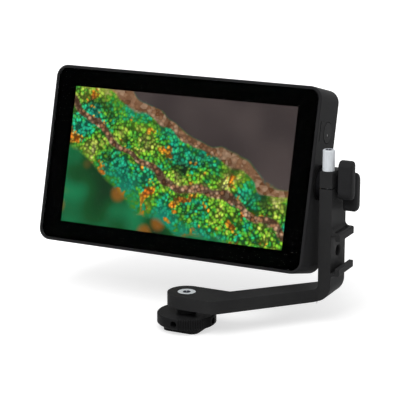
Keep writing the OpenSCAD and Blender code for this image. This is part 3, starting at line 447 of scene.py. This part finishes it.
def beaded(paint, flat, focus):
    """Small domed beads: greens that drift from teal to yellow, with orange patches and dark
    hollows."""
    bead_scale, warp_reach = 0.62, 4.0
    orange, rust, hollow = (0.62, 0.30, 0.015), (0.72, 0.19, 0.008), (0.012, 0.040, 0.010)
    warp = paint.noise(flat, 0.09, 2.0)
    bent = paint.node("ShaderNodeVectorMath", {"operation": "MULTIPLY_ADD"}, {
        0: paint.node("ShaderNodeCombineXYZ", None, [warp, 1 - warp]),
        1: (warp_reach, warp_reach, 0.0), 2: flat})
    reach = paint.cells(bent, bead_scale, "Distance")
    tint, glow, _ = paint.split(paint.cells(bent, bead_scale, "Color"))
    drift = paint.noise(flat, 0.05, 3.0)
    tone = (tint - 0.5) * 0.26 + (drift * 2.2 - 0.68)
    base = tone.ramp([
        (0.0, (0.006, 0.26, 0.17)), (0.25, (0.010, 0.42, 0.20)), (0.42, (0.030, 0.32, 0.030)),
        (0.60, (0.18, 0.45, 0.018)), (0.78, (0.46, 0.55, 0.07)), (1.0, (0.72, 0.70, 0.26))])
    patches = paint.noise(paint.mapped(flat, Location=(31.0, 12.0, 0.0)), 0.085, 2.0)
    patches = patches + (tint - 0.5) * 0.10
    base = paint.mix(patches.rise(0.60, 0.64), base, orange)
    base = paint.mix(patches.rise(0.66, 0.70), base, rust)
    shadow = paint.noise(paint.mapped(flat, Location=(-47.0, 5.0, 0.0)), 0.055, 3.0)
    base = paint.mix(shadow.rise(0.52, 0.68) * 0.85, base, hollow)
    dome = 1 - reach.rise(0.20, 0.75)
    light = dome * (glow * 0.9 + 0.70) + 0.18
    return paint.scaled(base, light * focus + (1 - focus) * 0.62)


def ridge(paint, flat, focus):
    """Tan and pinkish beads, larger than the green ones."""
    bead_scale = 0.46
    reach = paint.cells(flat, bead_scale, "Distance")
    tint = paint.split(paint.cells(flat, bead_scale, "Color"))[1]
    base = tint.ramp([
        (0.0, (0.20, 0.075, 0.025)), (0.5, (0.40, 0.20, 0.10)), (1.0, (0.62, 0.40, 0.25))])
    light = (1 - reach.rise(0.15, 0.60)) * 0.85 + 0.2
    return paint.scaled(base, light * focus + (1 - focus) * 0.55)


def leaves(paint, flat):
    """Blurred leaves: deep greens that run to yellow, and a few soft rusty spots."""
    base = paint.noise(flat, 0.035, 1.0).ramp([
        (0.30, (0.001, 0.020, 0.004)), (0.45, (0.002, 0.065, 0.012)),
        (0.56, (0.005, 0.17, 0.060)), (0.68, (0.16, 0.30, 0.006))])
    spots = 1 - paint.cells(flat, 0.07, "Distance").rise(0.12, 0.38)
    return paint.mix(spots * 0.7, base, (0.30, 0.10, 0.008))


def glass_finish():
    """Clear cover glass with an anti-glare coat, so it mirrors little."""
    return Paint("coated cover glass", WHITE, 0.0, Transmission_Weight=1.0, IOR=1.03).material


def ink_finish():
    """Black ink printed on the back of the glass, with a very fine screen-print grain."""
    paint = Paint("black printed border", (0.0004, 0.0004, 0.0005), 0.5, Specular_IOR_Level=0.0)
    grain = paint.noise(paint.place(), 4.0, 2.0)
    paint.set("Base Color", paint.mix(grain, (0.0003, 0.0003, 0.0004), (0.0006, 0.0006, 0.0007)))
    paint.bump(grain, 0.002)
    return paint.material


def board_finish():
    """Solder resist with copper tracks under it and bare pads."""
    resist, copper, bare = (0.008, 0.075, 0.030), (0.030, 0.17, 0.060), (0.62, 0.48, 0.20)
    long, narrow = 0.06, 0.6
    paint = Paint("green circuit board", (0.01, 0.09, 0.035), 0.35)
    flat = screen_flat(paint)[2]
    level = paint.cells(paint.mapped(flat, Scale=(long, narrow, 1)), 1.0, "Color")
    upright = paint.cells(paint.mapped(flat, Scale=(narrow, long, 1)), 1.0, "Color")
    tracks = paint.split(level)[0].rise(0.62, 0.66) + paint.split(upright)[1].rise(0.70, 0.74)
    pads = 1 - paint.cells(flat, 0.35, "Distance").rise(0.10, 0.12)
    paint.set("Base Color", paint.mix(pads, paint.mix(tracks * 0.6, resist, copper), bare))
    paint.set("Metallic", pads)
    paint.bump(tracks * 0.5 + pads, 0.03)
    return paint.material


def chip_finish():
    """Moulded chip resin with a fine sparkle of filler."""
    resin, sparkle = (0.012, 0.012, 0.013), (0.035, 0.035, 0.036)
    paint = Paint("black chip resin", (0.014, 0.014, 0.015), 0.55)
    spot = paint.place()
    filler = paint.noise(spot, 6.0, 2.0)
    clouds = paint.noise(spot, 0.5, 2.0)
    paint.set("Base Color", paint.mix(filler.rise(0.55, 0.75), resin, sparkle))
    paint.set("Roughness", 0.45 + clouds * 0.2)
    paint.bump(filler, 0.01)
    return paint.material


def fibre_finish(name, base, scale=2.2):
    """Pressed fibre: short crossing strands."""
    long = 0.3
    paint = Paint(name, base, 0.85)
    spot = paint.place()
    first = paint.noise(paint.mapped(spot, Scale=(long, 1.0, 1.0)), scale, 4.0, distort=0.6)
    second = paint.noise(paint.mapped(spot, Scale=(1.0, long, 1.0)), scale, 4.0, distort=0.6)
    strands = first.math("MAXIMUM", second)
    paint.set("Base Color", paint.mix(strands.rise(0.4, 0.7), shade(base, 0.6), shade(base, 1.4)))
    paint.bump(strands, 0.05)
    return paint.material


def film_finish():
    """Amber film with copper lines along it."""
    line_pitch = 0.8
    paint = Paint("amber film cable", (0.30, 0.13, 0.02), 0.3)
    lines = paint.split(screen_place(paint))[0].waves(line_pitch).rise(-0.2, 0.2)
    paint.set("Base Color", paint.mix(lines, (0.20, 0.075, 0.012), (0.42, 0.20, 0.035)))
    paint.bump(lines, 0.02)
    return paint.material


def diffuser_finish():
    """White diffuser stack with a faint grid of dots."""
    paint = Paint("white diffuser", (0.8, 0.8, 0.79), 0.6)
    dots = paint.cells(screen_place(paint), 0.8, "Distance").rise(0.2, 0.35)
    paint.set("Base Color", paint.mix(dots, (0.72, 0.72, 0.71), (0.84, 0.84, 0.83)))
    return paint.material


def lead_finish():
    """Red sleeving with a slight weave in the gloss."""
    weave_pitch = 0.5
    dark, pale = (0.26, 0.010, 0.008), (0.38, 0.016, 0.012)
    paint = Paint("red lead sleeve", (0.32, 0.012, 0.010), 0.45)
    spot = paint.place()
    weave = paint.split(spot)[1].waves(weave_pitch)
    paint.set("Roughness", weave * 0.05 + 0.45)
    paint.set("Base Color", paint.mix(paint.noise(spot, 1.5), dark, pale))
    paint.bump(weave, 0.01)
    return paint.material


def bright_finish(name, node, mouth):
    """Plated steel of an upright screw: turning marks, a soft cloudiness, and painted shade in the
    hexagon socket of radius mouth in its top, darkest just below the rim and paler on its floor."""
    # painted shade for the hexagon socket: paler bluish grey on its floor, darkest just below the
    # rim
    socket_floor_shade, socket_rim_shade = (0.20, 0.21, 0.25), (0.05, 0.05, 0.07)
    mark_pitch = 0.25
    plating = tuple(settings("monitor_finish").bright)
    middle, top = node_middle(node), node_box(node)[1].z
    paint = Paint(name, plating, 0.42, Metallic=0.05)
    spot = paint.mapped(paint.place(), Location=(-middle.x, -middle.y, -top))
    x, y, z = paint.split(spot)
    radius = hypot(x, y)
    smear = paint.noise(paint.mapped(spot, Scale=(1.6, 1.6, 0.25)), 1.0, 3.0)
    plated = paint.mix(smear.rise(0.3, 0.7), plating, shade(plating, 0.88))
    # the socket's painted shade, graded from its floor up to the rim
    painted_socket_shade = paint.mix(z.rise(-2.2, -0.1), socket_floor_shade, socket_rim_shade)
    inside = (1 - radius.rise(mouth - 0.15, mouth + 0.1)) * z.rise(-4.0, -3.8)
    # painted shade laid over the plating inside the socket
    paint.set("Base Color", paint.mix(inside, plated, painted_socket_shade))
    paint.set("Roughness", smear * 0.12 + 0.36)
    paint.bump((radius + z).waves(mark_pitch), 0.002, 0.6)
    return paint.material


# ---------------------------------------------------------------- surfaces


def loft(rings, closed=False, caps=True):
    """Surface through rings of points, an array (rings, points, 3): each ring is joined to the
    next by quads. Closed, the last ring meets the first, as in a frame's section. With caps, one
    face closes each end."""
    rings = np.asarray(rings, float)
    count, size, _ = rings.shape
    steps = np.arange(count if closed else count - 1)
    here = np.arange(size)
    nearby = np.roll(here, -1)
    base = steps[:, None] * size
    following = ((steps + 1) % count)[:, None] * size
    quads = np.stack(
        [base + here, base + nearby, following + nearby, following + here], axis=-1)
    faces = quads.reshape(-1, 4).tolist()
    if caps and not closed:
        faces.append(here[::-1].tolist())
        faces.append((here + (count - 1) * size).tolist())
    return rings.reshape(-1, 3), faces


def joined(*shells):
    """Several shells of points and faces as one."""
    starts = np.cumsum([0] + [len(points) for points, _ in shells])
    faces = [[corner + int(start) for corner in face]
             for (_, part), start in zip(shells, starts) for face in part]
    return np.concatenate([points for points, _ in shells]), faces


def round_outline(width, height, radii, inset=0.0, points=96):
    """Rectangle with round corners, moved inwards by inset: at each angle the corner's arc is
    followed, a quarter of the points to each corner, so that outlines of any inset match point by
    point. The radii start at the upper right corner and go round anticlockwise."""
    quarter = (np.arange(points) * 4) // points
    turn = (np.arange(points) + 0.5) * (2 * math.pi / points)
    radius = (np.ones(4) * radii)[quarter][:, None]
    corner = np.array([[1, 1], [-1, 1], [-1, -1], [1, -1]])[quarter]
    middle = corner * (np.array([width, height]) / 2 - radius)
    reach = np.maximum(radius - inset, 0.0)
    return middle + reach * np.stack([np.cos(turn), np.sin(turn)], axis=-1)


def lathe_rings(profile, points=96):
    """Rings of a turned piece: profile rows are (radius, height, roundness). Where roundness is 0
    the ring is a hexagon whose corners have that radius, and where it is 1 it is a circle."""
    turn = np.arange(points) * (2 * math.pi / points)
    sixth = math.pi / 3
    hexagon = math.cos(sixth / 2) / np.cos((turn % sixth) - sixth / 2)
    radius, height, roundness = np.asarray(profile, float).T[:, :, None]
    reach = radius * (roundness + (1 - roundness) * hexagon)
    heights = np.broadcast_to(height, reach.shape)
    return np.stack([reach * np.cos(turn), reach * np.sin(turn), heights], axis=-1)


def rim(radius, top, edge, steps=6):
    """Profile rows of a rounded outer edge: a quarter circle from the wall up to the top."""
    turn = np.linspace(0, math.pi / 2, steps)
    return [(radius - edge * (1 - math.cos(a)), top - edge * (1 - math.sin(a)), 1) for a in turn]


def socket(top, corner, depth):
    """Profile rows of a hexagon socket: a broken mouth, straight walls and a flat floor."""
    lead = 0.15
    return [(corner + lead, top, 0), (corner, top - lead, 0), (corner, top - depth, 0)]


def along_x(points):
    """Turns points worked out round Z so that they lie round X."""
    return points[..., [2, 0, 1]]


def new_mesh(name, points, faces):
    """A mesh of points in millimetres."""
    mesh = bpy.data.meshes.new(name)
    mesh.from_pydata((np.asarray(points) * MM).tolist(), [], faces)
    mesh.validate()
    return mesh


def link(name, data):
    """Puts a mesh, a light or a camera into the scene as an object."""
    placed = bpy.data.objects.new(name, data)
    bpy.context.scene.collection.objects.link(placed)
    return placed


def add_piece(name, points, faces, body, material, replaces=()):
    """Makes an object of points in millimetres, and says what it stands for and moves with."""
    mesh = new_mesh(name, points, faces)
    shade_edges(mesh)
    return declare(link(name, mesh), body, material, replaces)


def declare(piece, body, material, replaces=()):
    """Gives an object its finish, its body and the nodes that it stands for."""
    piece.data.materials.clear()
    piece.data.materials.append(material)
    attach(piece, body)
    if replaces:
        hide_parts(*replaces)
    return piece


def shade_edges(mesh, angle=35.0):
    """Smooth shading, with edges sharper than the angle kept crisp."""
    mesh.shade_smooth()
    mesh.set_sharp_from_angle(angle=math.radians(angle))


def finished_mesh(piece):
    """Applies the piece's modifiers."""
    view = bpy.context.evaluated_depsgraph_get()
    mesh = bpy.data.meshes.new_from_object(piece.evaluated_get(view))
    piece.modifiers.clear()
    piece.data = mesh
    return piece


def broken_edges(name, node, body, material, width):
    """A copy of a CAD solid with its sharp edges broken by a narrow rounding, as deburred metal
    has. Its flat triangles are joined into whole faces first."""
    flat, crisp, sharp = 0.6, 40.0, 38.0
    mesh = frame["nodes"][node].data.copy()
    mesh.name = name
    shape = bmesh.new()
    shape.from_mesh(mesh)
    bmesh.ops.remove_doubles(shape, verts=shape.verts, dist=1e-6)
    bmesh.ops.dissolve_limit(
        shape, angle_limit=math.radians(flat), verts=shape.verts, edges=shape.edges)
    shape.to_mesh(mesh)
    shape.free()
    shade_edges(mesh, crisp)
    piece = link(name, mesh)
    rounding = piece.modifiers.new("edges", "BEVEL")
    rounding.width = width * MM
    rounding.segments = 2
    rounding.limit_method = "ANGLE"
    rounding.angle_limit = math.radians(sharp)
    rounding.use_clamp_overlap = False
    rounding.miter_outer = "MITER_ARC"
    rounding.harden_normals = True
    finished_mesh(piece)
    return declare(piece, body, material, (node,))


def dress(material, *nodes):
    """Gives CAD nodes a finish."""
    for node in nodes:
        slots = frame["nodes"][node].data.materials
        slots.clear()
        slots.append(material)


# ---------------------------------------------------------------- operators


class MONITOR_OT_screen(bpy.types.Operator):
    """Cover glass, its printed border and the lit panel"""
    bl_idname = "monitor.screen"
    bl_label = "Screen"

    def execute(self, context):
        screen = settings("monitor_screen")
        self.add_glass(screen)
        self.add_border(screen)
        dress(picture_finish(), "lcd_panel")
        dress(diffuser_finish(), "backlight")
        dress(fibre_finish("black foam tape", (0.010, 0.010, 0.010), 4.0), "glass_tape")
        return {"FINISHED"}

    def add_glass(self, screen):
        """Round-cornered sheet whose front edge follows a quarter circle."""
        edge, back = screen.glass_edge, screen.glass_t - screen.ink_t - 2 * screen.ink_gap
        rows = [(0.0, back)] + [(edge * (1 - math.cos(a)), edge * (1 - math.sin(a)))
                                for a in np.linspace(0, math.pi / 2, 6)]
        points, faces = loft([self.ring(self.outline(screen, inset), depth)
                              for inset, depth in rows])
        add_piece("cover_glass_sheet", to_row(points), faces, "monitor", glass_finish(),
                  ("cover_glass",))

    def add_border(self, screen):
        """Thin printed frame: outer outline of the glass, inner outline of the picture."""
        back = screen.glass_t - screen.ink_gap
        front = back - screen.ink_t
        outer = self.outline(screen, screen.ink_inset)
        inner = round_outline(screen.picture_w, screen.picture_h, screen.picture_r)
        rings = [self.ring(line, depth) for line, depth in (
            (outer, front), (inner, front), (inner, back), (outer, back))]
        points, faces = loft(rings, closed=True)
        add_piece("printed_border", to_row(points), faces, "monitor", ink_finish(), ())

    @staticmethod
    def outline(screen, inset):
        """Outline of the glass, moved inwards by inset."""
        return round_outline(screen.glass_w, screen.glass_h, screen.glass_r, inset)

    @staticmethod
    def ring(line, depth):
        """An outline laid at a depth behind the front of the glass."""
        return np.stack([line[:, 0], np.full(len(line), depth), line[:, 1]], axis=-1)


class MONITOR_OT_housing(bpy.types.Operator):
    """Front frame, rear cover and what is fastened to them"""
    bl_idname = "monitor.housing"
    bl_label = "Housing"

    def execute(self, context):
        black = tuple(settings("monitor_finish").housing)
        dress(grained("fine matt moulded black", black, 0.5, Specular_IOR_Level=0.018),
              "front_frame", "rear_cover")
        dress(turned("blackened screw steel", (0.02, 0.02, 0.021), 0.4, 0.6), "housing_screws")
        dress(rolled("turned brass", (0.62, 0.44, 0.17), 0.28, "Z"),
              "arm_insert", "side_insert", "base_insert", "board_posts", "battery_contacts")
        return {"FINISHED"}


class MONITOR_OT_power_button(bpy.types.Operator):
    """Power button with its light dot"""
    bl_idname = "monitor.power_button"
    bl_label = "Power button"

    def execute(self, context):
        black = (0.026, 0.026, 0.027)
        dress(grained("smooth button black", black, 0.45, 0.5, 0.004, Specular_IOR_Level=0.02),
              "power_button")
        self.add_light_dot()
        return {"FINISHED"}

    def add_light_dot(self):
        """Turned rod with a domed end, whose last ring is left small for its cap."""
        dome_height, last_turn = 0.2, 0.48 * math.pi
        dark, pale = (0.065, 0.065, 0.068), (0.085, 0.085, 0.088)
        low, high = node_box("button_lens")
        radius = (high.y - low.y) / 2
        dome = [(radius * math.cos(a), high.x - dome_height * (1 - math.sin(a)), 1)
                for a in np.linspace(0, last_turn, 6)]
        rings = along_x(lathe_rings([(radius, low.x, 1)] + dome, 32))
        points, faces = loft(rings + Vector((0, *node_middle("button_lens").yz)))
        milky = Paint("milky light dot", (0.075, 0.075, 0.078), 0.3)
        milky.set("Base Color", milky.mix(milky.noise(milky.place(), 3.0, 2.0), dark, pale))
        add_piece("light_dot", points, faces, "power_button", milky.material, ("button_lens",))


class MONITOR_OT_electronics(bpy.types.Operator):
    """Boards, chips, sockets, cable and tray inside the housing"""
    bl_idname = "monitor.electronics"
    bl_label = "Electronics"

    def execute(self, context):
        dress(rolled("rolled tray steel", (0.55, 0.55, 0.57), 0.35, "X"), "panel_tray")
        dress(rolled("plated small steel", (0.60, 0.61, 0.63), 0.3, "Y"),
              "tray_screws", "board_screws", "plate_screws", "latch_spring", "pivot_washer",
              "knob_screw")
        dress(board_finish(), "main_board", "button_board")
        dress(chip_finish(), "board_chips", "button_switch")
        dress(rolled("milled spreader metal", (0.68, 0.69, 0.70), 0.35, "Z"), "heat_spreader")
        dress(grained("cream connector resin", (0.62, 0.58, 0.46), 0.5), "display_connector")
        dress(film_finish(), "display_cable")
        dress(rolled("socket shell steel", (0.58, 0.59, 0.61), 0.25, "X"),
              "hdmi_in_socket", "hdmi_out_socket", "usb_socket")
        dress(grained("black socket resin", (0.015, 0.015, 0.016), 0.4),
              "power_jack", "headphone_socket")
        return {"FINISHED"}


class MONITOR_OT_battery_plate(bpy.types.Operator):
    """Battery plate with its latch and leads; its contacts get their brass with the housing's
    inserts
    """
    bl_idname = "monitor.battery_plate"
    bl_label = "Battery plate"

    def execute(self, context):
        dress(grained("satin plate resin", (0.018, 0.018, 0.019), 0.42, Specular_IOR_Level=0.1),
              "battery_plate", "battery_latch")
        dress(lead_finish(), "battery_leads")
        return {"FINISHED"}


class MONITOR_OT_arm(bpy.types.Operator):
    """Tilt arm with its clamp head, side shoe and spindle"""
    bl_idname = "monitor.arm"
    bl_label = "Arm"

    def execute(self, context):
        black = tuple(settings("monitor_finish").arm)
        metal = grained(
            "blasted black metal", black, 0.45, 0.25, 0.008, Specular_IOR_Level=0.015)
        broken_edges("tilt_arm", "arm_bracket", "arm", metal, settings("monitor_hardware").edge)
        steel = grained(
            "blackened spindle steel", (0.008, 0.008, 0.009), 0.5, Specular_IOR_Level=0.018)
        dress(steel, "tilt_spindle", "spindle_clip")
        rubber = grained(
            "black rubber", (0.009, 0.009, 0.009), 0.8, 0.5, 0.02, Specular_IOR_Level=0.018)
        dress(rubber, "spindle_pad", "ring_pad")
        dress(fibre_finish("friction fibre", (0.13, 0.095, 0.05)), "friction_washer")
        return {"FINISHED"}


class MONITOR_OT_screws(bpy.types.Operator):
    """Bright tension screw and pivot screw"""
    bl_idname = "monitor.screws"
    bl_label = "Bright screws"

    def execute(self, context):
        hardware = settings("monitor_hardware")
        self.add_tension_screw(hardware)
        self.add_pivot_screw(hardware)
        return {"FINISHED"}

    def add_tension_screw(self, hardware):
        """Tall cylinder head with a round rim and a hexagon socket, on its shank."""
        tip, foot, round_rim = 0.3, 0.25, 0.45
        low, high = node_box("tension_screw")
        radius, shank, mouth = (high.x - low.x) / 2, hardware.tension_shank, hardware.tension_socket
        seat = high.z - hardware.tension_head
        profile = [(shank - tip, low.z, 1), (shank, low.z + tip, 1), (shank, seat, 1),
                   (radius - foot, seat, 1), (radius, seat + foot, 1)]
        profile += rim(radius, high.z, round_rim) + socket(high.z, mouth, hardware.tension_depth)
        self.add_turned("tension_bolt", "tension_screw", "tension_screw", profile, mouth)

    def add_pivot_screw(self, hardware):
        """Countersunk head with a narrow rim and a hexagon socket, on its shank."""
        tip, rim_h, rim_draft = 0.3, 0.1, 0.02
        low, high = node_box("pivot_screw")
        radius, shank, mouth = (high.x - low.x) / 2, hardware.pivot_shank, hardware.pivot_socket
        profile = [(shank - tip, low.z, 1), (shank, low.z + tip, 1),
                   (shank, high.z - radius + shank, 1), (radius - rim_h, high.z - rim_h, 1),
                   (radius - rim_h - rim_draft, high.z, 1)]
        profile += socket(high.z, mouth, hardware.pivot_depth)
        self.add_turned("pivot_bolt", "pivot_screw", "shoe_foot", profile, mouth)

    def add_turned(self, name, node, body, profile, mouth):
        """Turned screw in its CAD node's place."""
        middle = node_middle(node)
        points, faces = loft(lathe_rings(profile) + Vector((middle.x, middle.y, 0)))
        add_piece(name, points, faces, body, bright_finish(name + " plating", node, mouth), (node,))


class MONITOR_OT_knob(bpy.types.Operator):
    """Moulded wing knob with blended lobes"""
    bl_idname = "monitor.knob"
    bl_label = "Wing knob"

    def execute(self, context):
        hub_step, hub_edge = 0.6, 0.8
        hardware = settings("monitor_hardware")
        base = tuple(settings("monitor_finish").knob)
        low, high = node_box("wing_knob")
        front = self.lobe(hardware, low, high)
        half_turn = np.array([1.0, -1.0, -1.0])
        hub_rows = rim(hardware.knob_hub, high.x - hub_step, hub_edge)
        hub = loft(along_x(lathe_rings([(hardware.knob_hub, low.x, 1)] + hub_rows)))
        points, faces = joined(front, (front[0] * half_turn, front[1]), hub)
        black = grained("satin knob black", base, 0.45, 0.4, 0.008, Specular_IOR_Level=0.012)
        knob = add_piece("wing_knob_body", points + self.axis_place(), faces, "wing_knob", black,
                         ("wing_knob",))
        self.blend(knob, hardware, low)
        return {"FINISHED"}

    @staticmethod
    def axis_place():
        """From points round the X axis to points round the tilt axis."""
        return Vector((0, TILT_AXIS.y, TILT_AXIS.z))

    def lobe(self, hardware, low, high):
        """Front lobe round the tilt axis: an outline with its own four corners, drawn in towards
        the outer face along a quarter circle and crowned a little there."""
        seam, crown = 0.3, 0.1
        width, height, edge = hardware.lobe_w, hardware.lobe_h, hardware.knob_edge
        middle = np.array([
            low.y - TILT_AXIS.y + width / 2, high.z - TILT_AXIS.z - height / 2])
        rows = [(seam, low.x), (0.0, low.x + seam)]
        rows += [(edge - radius, x) for radius, x, _ in rim(edge, high.x - crown, edge, 8)]
        rows += [(edge + 0.5, high.x - 0.03), (edge + 0.9, high.x)]
        rings = []
        for inset, x in rows:
            outline = middle + round_outline(width, height, tuple(hardware.lobe_radii), inset, 160)
            rings.append(np.column_stack([np.full(len(outline), x), outline]))
        return loft(rings)

    def blend(self, knob, hardware, low):
        """Joins the lobes and the hub into one skin, softens where they meet and drills the bore
        again."""
        skin = knob.modifiers.new("one skin", "REMESH")
        skin.mode = "VOXEL"
        skin.voxel_size = hardware.knob_voxel * MM
        soft = knob.modifiers.new("soft joins", "SMOOTH")
        soft.factor = 0.5
        soft.iterations = 6
        finished_mesh(knob)
        drill = self.new_drill(low)
        bore = knob.modifiers.new("bore", "BOOLEAN")
        bore.operation = "DIFFERENCE"
        bore.object = drill
        finished_mesh(knob)
        bpy.data.meshes.remove(drill.data)
        shade_edges(knob.data, 50.0)

    def new_drill(self, low):
        """Rod of the knob screw's size, from before the knob's inner face to the screw's end."""
        over = 1.0
        screw_low, screw_high = node_box("knob_screw")
        radius = (screw_high.y - screw_low.y) / 2
        rings = along_x(lathe_rings([(radius, low.x - over, 1), (radius, screw_high.x, 1)], 64))
        return link("drill", new_mesh("drill", *loft(rings + self.axis_place())))


class MONITOR_OT_foot(bpy.types.Operator):
    """Shoe foot with its lock ring"""
    bl_idname = "monitor.foot"
    bl_label = "Shoe foot"

    def execute(self, context):
        finish, hardware = settings("monitor_finish"), settings("monitor_hardware")
        metal = grained(
            "black foot metal", tuple(finish.arm), 0.4, 0.25, 0.008, Specular_IOR_Level=0.02)
        broken_edges("shoe_plate", "foot_plate", "shoe_foot", metal, hardware.edge)
        dress(metal, "foot_stud")
        ring_metal = grained(
            "black ring metal", tuple(finish.ring), 0.45, 0.25, 0.008, Specular_IOR_Level=0.02)
        dress(ring_metal, "lock_ring")
        return {"FINISHED"}


class MONITOR_OT_stage(bpy.types.Operator):
    """White floor, soft lights and the camera"""
    bl_idname = "monitor.stage"
    bl_label = "Stage"

    def execute(self, context):
        stage = settings("monitor_stage")
        self.add_floor(stage)
        self.light_room(stage)
        self.add_lamp("key softbox", stage.key_light, stage.key_size, stage.key_place)
        self.add_lamp("side softbox", stage.side_light, stage.side_size, stage.side_place)
        self.add_camera(stage)
        context.scene.view_settings.view_transform = "Standard"
        return {"FINISHED"}

    def add_floor(self, stage):
        """Round floor that curves up far behind the object, as radius and height of each ring."""
        rows = [(20, 0), (600, 0), (2000, 0), (2600, 60), (3100, 300), (3400, 800)]
        rings = lathe_rings([(*row, 1) for row in rows])
        points, faces = loft(rings, caps=False)
        faces.append(list(range(rings.shape[1]))[::-1])
        mesh = new_mesh("white_floor", points, [face[::-1] for face in faces])
        shade_edges(mesh, 40.0)
        mesh.materials.append(self.floor_finish(stage))
        link("white_floor", mesh)

    def floor_finish(self, stage):
        """White floor that adds light of its own to what the camera and mirrors see, more so away
        from the object's shadow."""
        paint = Paint("white floor", (0.6, 0.6, 0.6), 0.9, Specular_IOR_Level=0.0)
        x, y, _ = paint.split(paint.place())
        clear = hypot(x, y).rise(stage.shadow_r, stage.clear_r)
        glow = clear * (1 - stage.shadow_glow) + stage.shadow_glow
        paint.set("Emission Color", paint.seen() * glow)
        paint.set("Emission Strength", 1.0)
        return paint.material

    def light_room(self, stage):
        """White all round to the camera and to mirrors, and a dimmer even light to surfaces."""
        world = bpy.data.worlds.new("studio")
        bpy.context.scene.world = world
        world.use_nodes = True
        room = Graph(world.node_tree)
        back = world.node_tree.nodes["Background"]
        room.plug(back.inputs["Color"], WHITE)
        level = room.seen() * (1 - stage.room_light) + stage.room_light
        room.plug(back.inputs["Strength"], level)

    def add_lamp(self, name, level, size, place):
        """Square softbox that gives the object that level of light, whatever its distance."""
        lamp = bpy.data.lights.new(name, "AREA")
        lamp.shape = "SQUARE"
        lamp.size = size * MM
        spot = Vector(place) * MM
        back = spot - Vector(settings("monitor_stage").lit_point) * MM
        lamp.energy = level * math.pi * back.length_squared
        holder = link(name, lamp)
        holder.location = spot
        holder.rotation_euler = back.to_track_quat("Z", "Y").to_euler()

    def add_camera(self, stage):
        """Camera at its angles and distance from the aim point."""
        azimuth, elevation = math.radians(stage.azimuth), math.radians(stage.elevation)
        back = Vector((
            math.sin(azimuth) * math.cos(elevation), -math.cos(azimuth) * math.cos(elevation),
            math.sin(elevation)))
        camera = link("photo camera", bpy.data.cameras.new("photo camera"))
        camera.data.lens = stage.lens
        camera.data.sensor_width = 36.0
        camera.data.sensor_fit = "HORIZONTAL"
        camera.data.clip_start = 0.01
        camera.location = (Vector(stage.aim) + back * stage.distance) * MM
        camera.rotation_euler = back.to_track_quat("Z", "Y").to_euler()
        bpy.context.scene.camera = camera


OPERATORS = (
    MONITOR_OT_stage, MONITOR_OT_screen, MONITOR_OT_housing, MONITOR_OT_power_button,
    MONITOR_OT_electronics, MONITOR_OT_battery_plate, MONITOR_OT_arm, MONITOR_OT_screws,
    MONITOR_OT_knob, MONITOR_OT_foot)
SETTINGS = {
    "monitor_screen": ScreenSettings, "monitor_finish": FinishSettings,
    "monitor_hardware": HardwareSettings, "monitor_stage": StageSettings}


class MONITOR_PT_panel(bpy.types.Panel):
    """Lists the pieces of the field monitor"""
    bl_idname = "MONITOR_PT_panel"
    bl_label = "Field monitor"
    bl_space_type = "VIEW_3D"
    bl_region_type = "UI"
    bl_category = "Field monitor"

    def draw(self, context):
        for name, group in SETTINGS.items():
            box = self.layout.box()
            for field in group.__annotations__:
                box.prop(getattr(context.scene, name), field)
        for operator in OPERATORS:
            self.layout.operator(operator.bl_idname)


def register():
    for kind in (*SETTINGS.values(), *OPERATORS, MONITOR_PT_panel):
        bpy.utils.register_class(kind)
    for name, group in SETTINGS.items():
        setattr(bpy.types.Scene, name, bpy.props.PointerProperty(type=group))


def unregister():
    for name in SETTINGS:
        delattr(bpy.types.Scene, name)
    for kind in (MONITOR_PT_panel, *reversed(OPERATORS), *SETTINGS.values()):
        bpy.utils.unregister_class(kind)


def main():
    register()
    for operator in OPERATORS:
        group, action = operator.bl_idname.split(".")
        getattr(getattr(bpy.ops, group), action)()


if __name__ == "__main__":
    main()
